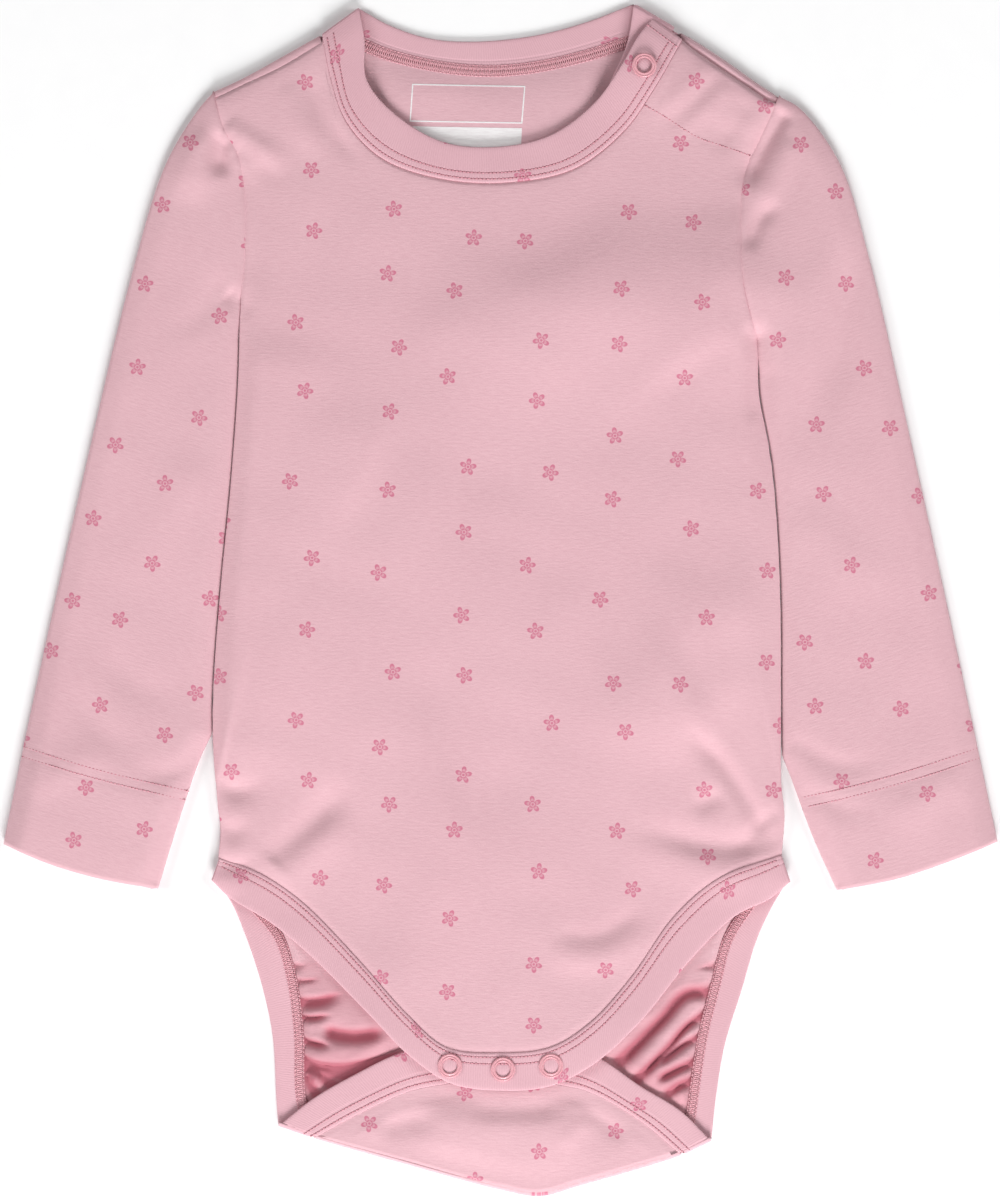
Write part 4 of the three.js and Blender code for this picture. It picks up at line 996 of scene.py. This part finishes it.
for s, sign in (("right", 1), ("left", -1)):
    seat = shifted(along(ARMHOLE[s][::-1], even(SEAT_STEPS)), -sign * SEAM_GAP)
    contact = SIDE[s][3 * STEPS :][::-1]
    apart = SEAM_GAP + (SIDE_GAP - SEAM_GAP) * smooth(run(contact) / 14)
    contact = shifted(contact, -sign * apart)
    free = SLEEVE_INNER_FREE[s]
    inner_fold = np.vstack([seat[-1:], contact[1:][contact[1:, 1] > free[0, 1] + 4], free])
    outer_fold = shifted(SLEEVE_OUTER[s], sign * JERSEY / 2)
    outer_fold[0] = seat[0]
    inner_line = joined(seat, along(inner_fold, even(FOLD_STEPS)))
    shares = run(inner_line) / run(inner_line)[-1]
    outer_line = along(outer_fold, shares)
    hem = along(CUFF[s][::-1], across)
    plan = fill(np.broadcast_to(seat[0], hem.shape), hem, inner_line, outer_line)
    folds = [outer_fold[::3], inner_fold[::2]]
    edge = distance(folds, plan)
    upper = sleeve_top(plan, folds) - dip([ARMHOLE[s]], plan)
    upper = upper - ARMHOLE_DIP / SEAM_DIP * dip([ARMHOLE[s]], plan, 0.8)
    lower = SLEEVE_FOLD - (SLEEVE_FOLD - JERSEY / 2) * round_over(edge / UNDER_SOFTNESS)
    for layer in (upper, lower):
        layer[:, -1] = SLEEVE_FOLD
        layer[0] = SLEEVE_FOLD
        layer[SEAT_STEPS:, 0] = SLEEVE_FOLD
    turned_in = HEM_EXTRA * (distance([CUFF[s]], plan) < HEM_DEPTH)
    inside = np.clip((upper - lower) / 2 - 0.15, FOLDED_INNER, JERSEY / 2 + turned_in)
    tilt = math.atan2(outer_line[-1, 0] - outer_line[0, 0], outer_line[0, 1] - outer_line[-1, 1])
    spin = np.array([[math.cos(tilt), -math.sin(tilt)], [math.sin(tilt), math.cos(tilt)]])
    grain = plan @ spin
    rim = outer_line @ spin
    beneath = grain.copy()
    beneath[..., 0] = 2 * rim[:, None, 0] - grain[..., 0]
    turned = s == "left"
    cloth(
        f"sleeve_{s}_cloth",
        [
            (raised(plan, upper), grain, JERSEY / 2, inside, turned),
            (raised(plan, lower), beneath, JERSEY / 2, inside, not turned),
        ],
        [PRINTED, REVERSE],
        f"sleeve_{s}",
    )
    lines = [raised(row, sleeve_top(row, folds) + JERSEY / 2 - SUNK) for row in CUFF_ROWS[s]]
    sewn(f"cuff_{s}_stitches", NEEDLE_ROW, lines, "printed_jersey", Seed=2, **STITCHES)


# Neckbands
# Strips of the same jersey, folded double over the raw edge and sewn down with two needles. The front one's
# free end laps over the left shoulder; the back one passes over the shoulder and lies under it.
NECK_FREE = traced(
    (-56.4, 236.8), (-54.2, 224), (-53.6, 209), (-45, 197), (-24, 183.6), (-2, 181.2), (20, 185.8), (38, 199),
    (49, 214.4), (55, 225), (60.8, 232.4),
)
BACK_NECK_FREE = traced(
    (-56.4, 236.8), (-44, 230), (-28, 224.8), (-10, 223.6), (14, 226), (34, 231.2), (54, 238.8),
)
WRAP_HEIGHT = 3.4
BAND_ACROSS = np.array([0, 0.02, 0.05, 0.1, 0.18, 0.28, 0.4, 0.52, 0.64, 0.75, 0.84, 0.91, 0.96, 0.985, 1])
BAND_WALL = BINDING / 2 * (0.6 + 0.4 * round_over(np.minimum(BAND_ACROSS / 0.1, (1 - BAND_ACROSS) / 0.12)))


NEEDLE_PLACES = 1.8, 4.6
PRINT_SHIFT = 9.5


def binding_cloth(name, outer):
    """The same jersey across its grain: fine wales run over the strip. On its outer side it has the print, and
    two needle rows pull it into grooves."""
    finish = Finish(name, Roughness=0.86, Specular_IOR_Level=0.22, Sheen_Weight=0.22, Sheen_Roughness=0.45)
    grain = finish.value("ShaderNodeUVMap", {"uv_map": "grain"})
    parts = finish.value("ShaderNodeSeparateXYZ", {}, {0: grain})
    sway = finish.noise(grain, 260, 2, 0.5)
    wales = ((parts / 0.00095 + sway * 0.9) * 6.2832).maths("SINE") * 0.5 + 0.5
    fibres = finish.noise(finish.stretched(grain, 2600, 700), 1, 2, 0.6)
    clouds = finish.noise(grain, 30, 3, 0.5)
    shade = wales * 0.2 + fibres * 0.47 + clouds * 0.33
    colour = shade.between(0.2, 0.8).over((0.65, 0.37, 0.422), (0.735, 0.448, 0.50))
    height = wales * 0.14 + fibres * 0.3
    if outer:
        placed = finish.value("ShaderNodeMapping", {}, {"Vector": grain, "Location": (0, PRINT_SHIFT * MM, 0)})
        colour = (flowers(finish, placed) * (0.68 + fibres * 0.35)).over(colour, INK)
        for place in NEEDLE_PLACES:
            groove = 1 - (parts.output("Y") - place * MM).maths("ABSOLUTE").between(0.0001, 0.0008)
            height = height - groove * 0.4
    finish.give(finish.shader, {"Base Color": colour, "Normal": finish.relief(height, 0.0004, 0.55)})
    return finish.material


BINDING_OUTER = binding_cloth("binding", True)
BINDING_REVERSE = binding_cloth("binding_reverse", False)


def band_rows(seam, free):
    return seam[:, None] + (free - seam)[:, None] * BAND_ACROSS[None, :, None]


def band(name, rows, node, turned, **cut):
    """A binding from rows that each run from its seam to its free edge."""
    lengths = run(rows[:, len(BAND_ACROSS) // 2])
    widths = np.linalg.norm(rows[:, -1] - rows[:, 0], axis=1)
    grain = np.stack(np.broadcast_arrays(lengths[:, None], widths.mean() * BAND_ACROSS[None]), axis=-1)
    strip = [(rows, grain, BAND_WALL[None], BAND_WALL[None], turned)]
    piece = cloth(name, strip, [BINDING_OUTER, BINDING_REVERSE], node)
    return piece


def over_band(rows, place):
    """The line along the outer side of a binding at this distance from its seam."""
    share = place / np.linalg.norm(rows[:, -1] - rows[:, 0], axis=1).mean()
    line = np.array([[np.interp(share, BAND_ACROSS, row[:, k]) for k in range(3)] for row in rows])
    return line + (0, 0, BINDING / 2 - SUNK)


def looper_chain():
    """The looper threads on the inside of a twin-needle seam: two that cross from row to row and back."""
    work = Workings("looper_chain", Pitch="Float", Width="Float", Thickness="Float", Thread="Material")
    given = work.given
    line = work.spaced(work.times(given["Pitch"], 0.5))
    tangent = work.step("GeometryNodeInputTangent")
    side = work.step("ShaderNodeVectorMath", {"operation": "CROSS_PRODUCT"}, {0: tangent, 1: (0, 0, 1)})
    swing = work.step("ShaderNodeMath", {"operation": "SUBTRACT"}, {0: work.odd(), 1: 0.5})
    swing = work.times(swing, given["Width"])
    ring = work.step("GeometryNodeCurvePrimitiveCircle", {"mode": "RADIUS"}, {
        "Resolution": 5, "Radius": work.times(given["Thickness"], 0.5),
    })
    threads = []
    for way in (1, -1):
        offset = work.step("ShaderNodeVectorMath", {"operation": "SCALE"},
                           {0: side, "Scale": work.times(swing, way)})
        lift = work.step("ShaderNodeCombineXYZ", {}, {2: work.times(given["Thickness"], 0.2 * way)})
        offset = work.step("ShaderNodeVectorMath", {"operation": "ADD"}, {0: offset, 1: lift})
        crossing = work.step("GeometryNodeSetPosition", {}, {"Geometry": line, "Offset": offset})
        soft = work.step("GeometryNodeCurveSplineType", {"spline_type": "CATMULL_ROM"}, {"Curve": crossing})
        soft = work.step("GeometryNodeSetSplineResolution", {}, {0: soft, "Resolution": 3})
        threads.append(work.step("GeometryNodeCurveToMesh", {}, {"Curve": soft, "Profile Curve": ring}))
    whole = work.step("GeometryNodeJoinGeometry", {}, {"Geometry": threads})
    return work.hand_over([work.finished(whole, given["Thread"])])


LOOPER_CHAIN = looper_chain()
CHAIN = {"Pitch": 1.6 * MM, "Thickness": 0.42 * MM, "Thread": LOOPER_THREAD}
CHAIN_EDGE = {**STITCHES, "Pitch": 1.6 * MM, "Thread": LOOPER_THREAD, "Hole": NEEDLE_THREAD}


SNAP_NODES = [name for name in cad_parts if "snap" in name]
RING_NODES = [name for name in SNAP_NODES if name.endswith("ring") and not name.endswith("inner_ring")]
RING_PLACES = [np.mean(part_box(name), axis=0)[:2] / MM for name in RING_NODES]


def band_height(xy):
    """The bindings stand a little proud, and swell up inside the rings of the press fasteners."""
    swell = sum(np.exp(-((np.linalg.norm(xy - place, axis=-1) / 2.6) ** 2)) for place in RING_PLACES)
    return front_height(xy) + 0.08 + 0.6 * swell


neck_seam = shifted(along(NECK_SEAM, even(230)), SEAM_GAP)
neck_plan = band_rows(neck_seam, along(NECK_FREE, even(230)))
neck_rows = raised(neck_plan, band_height(neck_plan))
neckband_front = band(
    "neckband_front_cloth", neck_rows, "neckband_front", True, flat=(0.220, 0.0145), rests_on=["front_cloth"]
)
END_STITCHING = 5
across_end = neck_rows[-END_STITCHING][2:-2] + (0, 0, BINDING / 2 - SUNK)
sewn(
    "neckband_stitches", NEEDLE_ROW,
    [across_end, *(over_band(neck_rows, place)[3:-END_STITCHING] for place in NEEDLE_PLACES)],
    "jersey_binding",
    Seed=3, **STITCHES,
)
back_neck_seam = shifted(along(BACK_NECK_SEAM, even(170)), SEAM_GAP)
lying = band_rows(back_neck_seam, along(BACK_NECK_FREE, even(170)))[:-1]
peak = band_rows(np.array([[70, 229.4]]), np.array([[54.2, 238.6]]))[0]
peak_roll = fold_over(peak, np.broadcast_to([0.51, 0.86], peak.shape), BINDING / 2, WRAP_HEIGHT, BINDING, 12)
wrap = band_rows(
    along(traced((69, 226.4), (65, 212), (57, 198)), even(30))[1:],
    along(traced((53.2, 235.4), (50.6, 222), (44, 207)), even(30))[1:],
)
neckband_back = band(
    "neckband_back_cloth",
    np.concatenate([raised(lying, BINDING / 2), peak_roll, raised(wrap, WRAP_HEIGHT)]),
    "neckband_back", True, flat=(0.168, 0.0145), rests_on=["back_cloth"],
)
CHAIN_HEIGHT = 1.72
inside_neck = traced(*BACK_NECK_SEAM[2 * STEPS // 2 : -STEPS // 2 : STEPS // 2])
sewn(
    "neck_chain", LOOPER_CHAIN, [raised(shifted(inside_neck, -0.2), CHAIN_HEIGHT)], "jersey_binding",
    Width=3.8 * MM, **CHAIN,
)
sewn(
    "neck_chain_edges", NEEDLE_ROW, [raised(shifted(inside_neck, off), CHAIN_HEIGHT) for off in (-2.3, 1.9)],
    "jersey_binding", Seed=4, **CHAIN_EDGE,
)


# Leg and crotch bindings
# The same binding in two strips, one round the front's leg openings and crotch, one round the back's and
# the end of the flap. They are sewn on stretched, which gathers the seat.
FRONT_LEG_FREE = traced(
    (-115.2, -112), (-108, -119), (-92, -128.8), (-76, -142), (-52, -166),
    (-37, -181.4), (-20, -193), (0, -196),
    (20, -194.2), (38, -185), (56, -168.6), (76, -144), (94, -126.4), (108, -119.4), (116, -112.6),
)
BACK_LEG_FREE = {
    "right": traced(
        (-88.8, -210.4), (-89.6, -199), (-91, -175), (-95.4, -154),
        (-102.8, -132), (-108, -120.4), (-114.6, -112),
    ),
    "left": traced(
        (84.6, -216.4), (86.6, -198), (90, -178), (96.8, -156), (102.8, -136), (108.6, -123.4), (115, -112.6),
    ),
}
leg_seam = shifted(along(FRONT_LEG_SEAM, even(330)), -SEAM_GAP)
leg_plan = band_rows(leg_seam, along(FRONT_LEG_FREE, run(leg_seam) / run(leg_seam)[-1]))
LEG_DROOP = -0.3
leg_rows = raised(leg_plan, band_height(leg_plan) - LEG_DROOP * BAND_ACROSS)
leg_band_front = band(
    "leg_band_front_cloth", leg_rows, "leg_band_front", False, flat=(0.301, 0.0145), rests_on=["back_cloth"]
)
sewn(
    "leg_band_stitches", NEEDLE_ROW, [over_band(leg_rows, place)[3:-3] for place in NEEDLE_PLACES],
    "jersey_binding",
    Seed=5, **STITCHES,
)


def back_band_half(s):
    sign = 1 if s == "right" else -1
    seam = shifted(along(BACK_LEG_SEAM[s][::-1], even(170)), -sign * SEAM_GAP)
    lying = band_rows(seam, along(BACK_LEG_FREE[s][::-1], even(170)))[:-1]
    corner_line = CROTCH_FOLD[:STEPS] if s == "right" else CROTCH_FOLD[: -STEPS - 1 : -1]
    across = band_rows(corner_line[-1:], corner_line[:1])[0]
    bend = fold_over(across, np.broadcast_to([-0.3 * sign, -0.95], across.shape),
                     BINDING / 2, FLAP_END_HEIGHT, BINDING, 12)
    seam_up = joined(along(FLAP_SEAM[s], even(60)), np.array([FLAP_SEAM[s][-1], (0, FLAP_SEAM[s][-1, 1])]))
    seam_up = shifted(along(seam_up, even(100)), sign * SEAM_GAP)
    folded = band_rows(seam_up, along(FLAP_FREE[s], even(100)))[1:]
    return np.concatenate([raised(lying, BINDING / 2), bend, raised(folded, FLAP_END_HEIGHT)])


halves = both(back_band_half)
leg_band_back = band(
    "leg_band_back_cloth", np.concatenate([halves["right"], halves["left"][::-1][1:]]), "leg_band_back", True,
    flat=(0.401, 0.0145), rests_on=["table"],
)
sewn(
    "flap_stitches", NEEDLE_ROW,
    [over_band(np.concatenate([halves["right"][-100:], halves["left"][-100:][::-1][1:]]), place)
     for place in NEEDLE_PLACES],
    "jersey_binding", Seed=6, **STITCHES,
)
for s, sign in (("right", -1), ("left", 1)):
    inside_leg = shifted(along(BACK_LEG_SEAM[s], 0.03 + 0.82 * even(90)), -1.5 * sign)
    sewn(
        f"leg_chain_{s}", LOOPER_CHAIN, [raised(inside_leg, CHAIN_HEIGHT)],
        "jersey_binding", Width=3.0 * MM, **CHAIN
    )
    sewn(
        f"leg_chain_{s}_edges", NEEDLE_ROW,
        [raised(shifted(inside_leg, off), CHAIN_HEIGHT) for off in (-1.7, 1.7)],
        "jersey_binding", Seed=7, **CHAIN_EDGE,
    )


# Press fasteners
# Open rings of pressed brass with baked pink enamel, three at the crotch and one on the left shoulder. Prongs
# through the cloth hold each ring to its socket or stud; the cloth shows inside the ring.
def enamel():
    finish = Finish("enamel", Roughness=0.34, Specular_IOR_Level=0.5, Coat_Weight=0.3, Coat_Roughness=0.2)
    place = finish.value("ShaderNodeTexCoord", output="Object")
    patches = finish.noise(place, 700, 3, 0.6)
    fine = finish.noise(place, 4200, 2, 0.5)
    finish.give(finish.shader, {
        "Base Color": (patches * 0.7 + fine * 0.3).between(0.25, 0.75).over(
            (0.66, 0.30, 0.345), (0.76, 0.375, 0.42)),
        "Roughness": patches.between(0.3, 0.7) * 0.12 + 0.28,
        "Normal": finish.relief(fine, 0.00005, 0.3),
    })
    return finish.material


ENAMEL = enamel()
RING_SECTION = np.array([
    (3.0, 0), (2.98, 0.3), (3.08, 0.52), (3.3, 0.66), (3.56, 0.64), (3.74, 0.52), (3.9, 0.46), (4.1, 0.48),
    (4.3, 0.6), (4.52, 0.62), (4.72, 0.48), (4.86, 0.26), (4.9, 0),
])
RING_SEGMENTS = 72
for name in set(SNAP_NODES) - set(RING_NODES):
    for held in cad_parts[name].material_slots:
        held.material = ENAMEL
for name in RING_NODES:
    low, high = (np.array(end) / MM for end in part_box(name))
    centre = (low + high) / 2
    turns = np.linspace(0, 2 * math.pi, RING_SEGMENTS, endpoint=False)[:, None]
    radius, height = RING_SECTION.T
    ring_points = np.stack([
        centre[0] + radius * np.cos(turns), centre[1] + radius * np.sin(turns),
        np.broadcast_to(low[2] + height, (RING_SEGMENTS, len(height))),
    ], axis=-1)
    across_count = len(RING_SECTION)
    index = np.arange(RING_SEGMENTS * across_count).reshape(RING_SEGMENTS, across_count)
    after = np.roll(index, -1, axis=0)
    section_next = np.roll(index, -1, axis=1), np.roll(after, -1, axis=1)
    ring_faces = np.stack([index, section_next[0], section_next[1], after], axis=-1).reshape(-1, 4)
    mesh = bpy.data.meshes.new(name + "_enamelled")
    mesh.from_pydata(ring_points.reshape(-1, 3) * MM, [], ring_faces[:, ::-1].tolist())
    mesh.polygons.foreach_set("use_smooth", np.ones(len(ring_faces), bool))
    mesh.materials.append(ENAMEL)
    ring = bpy.data.objects.new(name + "_enamelled", mesh)
    scene.collection.objects.link(ring)
    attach(ring, "root")
    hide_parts(name)


# Size print
# A white heat transfer on the inside of the back, below the neck seam: a thin frame with a solid block under
# it, both left blank.
def transfer():
    finish = Finish("size_print", Roughness=0.55, Specular_IOR_Level=0.3)
    place = finish.value("ShaderNodeTexCoord", output="Object")
    cloth_below = finish.noise(finish.stretched(place, 190, 1300), 1, 3, 0.6)
    finish.give(finish.shader, {
        "Base Color": cloth_below.between(0.3, 0.7).over((0.80, 0.76, 0.77), (0.88, 0.86, 0.86)),
        "Normal": finish.relief(cloth_below, 0.00015, 0.4),
    })
    return finish.material


TRANSFER = transfer()
FRAME_CORNERS = np.array([(-35.2, 206.6), (10.2, 205.8), (9, 190.6), (-36.2, 191.4)])
BLOCK_CORNERS = np.array([(-35, 189.6), (8.8, 188.8), (8.2, 177), (-35, 178)])
PRINT_LINE = 0.55
PRINT_WALL = 0.08


def printed_patch(corners, cells):
    """A grid between four corners, given round it from the top left."""
    u = even(cells[0])[None, :, None]
    v = even(cells[1])[:, None, None]
    top = corners[0] + (corners[1] - corners[0]) * u
    bottom = corners[3] + (corners[2] - corners[3]) * u
    return bottom * v + top * (1 - v)


inner_corners = FRAME_CORNERS + np.array([(1, -1), (-1, -1), (-1, 1), (1, 1)]) * PRINT_LINE
patches = [printed_patch(BLOCK_CORNERS, (44, 12))]
for k in range(4):
    n = (k + 1) % 4
    bar = np.array([FRAME_CORNERS[k], FRAME_CORNERS[n], inner_corners[n], inner_corners[k]])
    patches.append(printed_patch(bar, (44, 1)))
print_points, print_faces = [], []
for patch in patches:
    start = sum(map(len, print_points))
    rows, columns = patch.shape[:2]
    upper = raised(patch, back_height(patch) + JERSEY / 2 + PRINT_WALL).reshape(-1, 3)
    index = start + np.arange(rows * columns).reshape(rows, columns)
    top = np.stack([index[:-1, :-1], index[1:, :-1], index[1:, 1:], index[:-1, 1:]], axis=-1).reshape(-1, 4)
    rim = np.concatenate([index[:, 0], index[-1, 1:], index[::-1, -1][1:], index[0, ::-1][1:-1]])
    rim_next = np.roll(rim, -1)
    under = rows * columns
    print_points += [upper, upper - (0, 0, PRINT_WALL)]
    print_faces += [top, top[:, ::-1] + under,
                    np.stack([rim, rim + under, rim_next + under, rim_next], axis=1)]
mesh = bpy.data.meshes.new("size_print")
mesh.from_pydata(np.vstack(print_points) * MM, [], np.vstack(print_faces).tolist())
mesh.materials.append(TRANSFER)
size_print = bpy.data.objects.new("size_print", mesh)
scene.collection.objects.link(size_print)
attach(size_print, "root")


# Closing: the bounds of this model's shown objects
low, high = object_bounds()
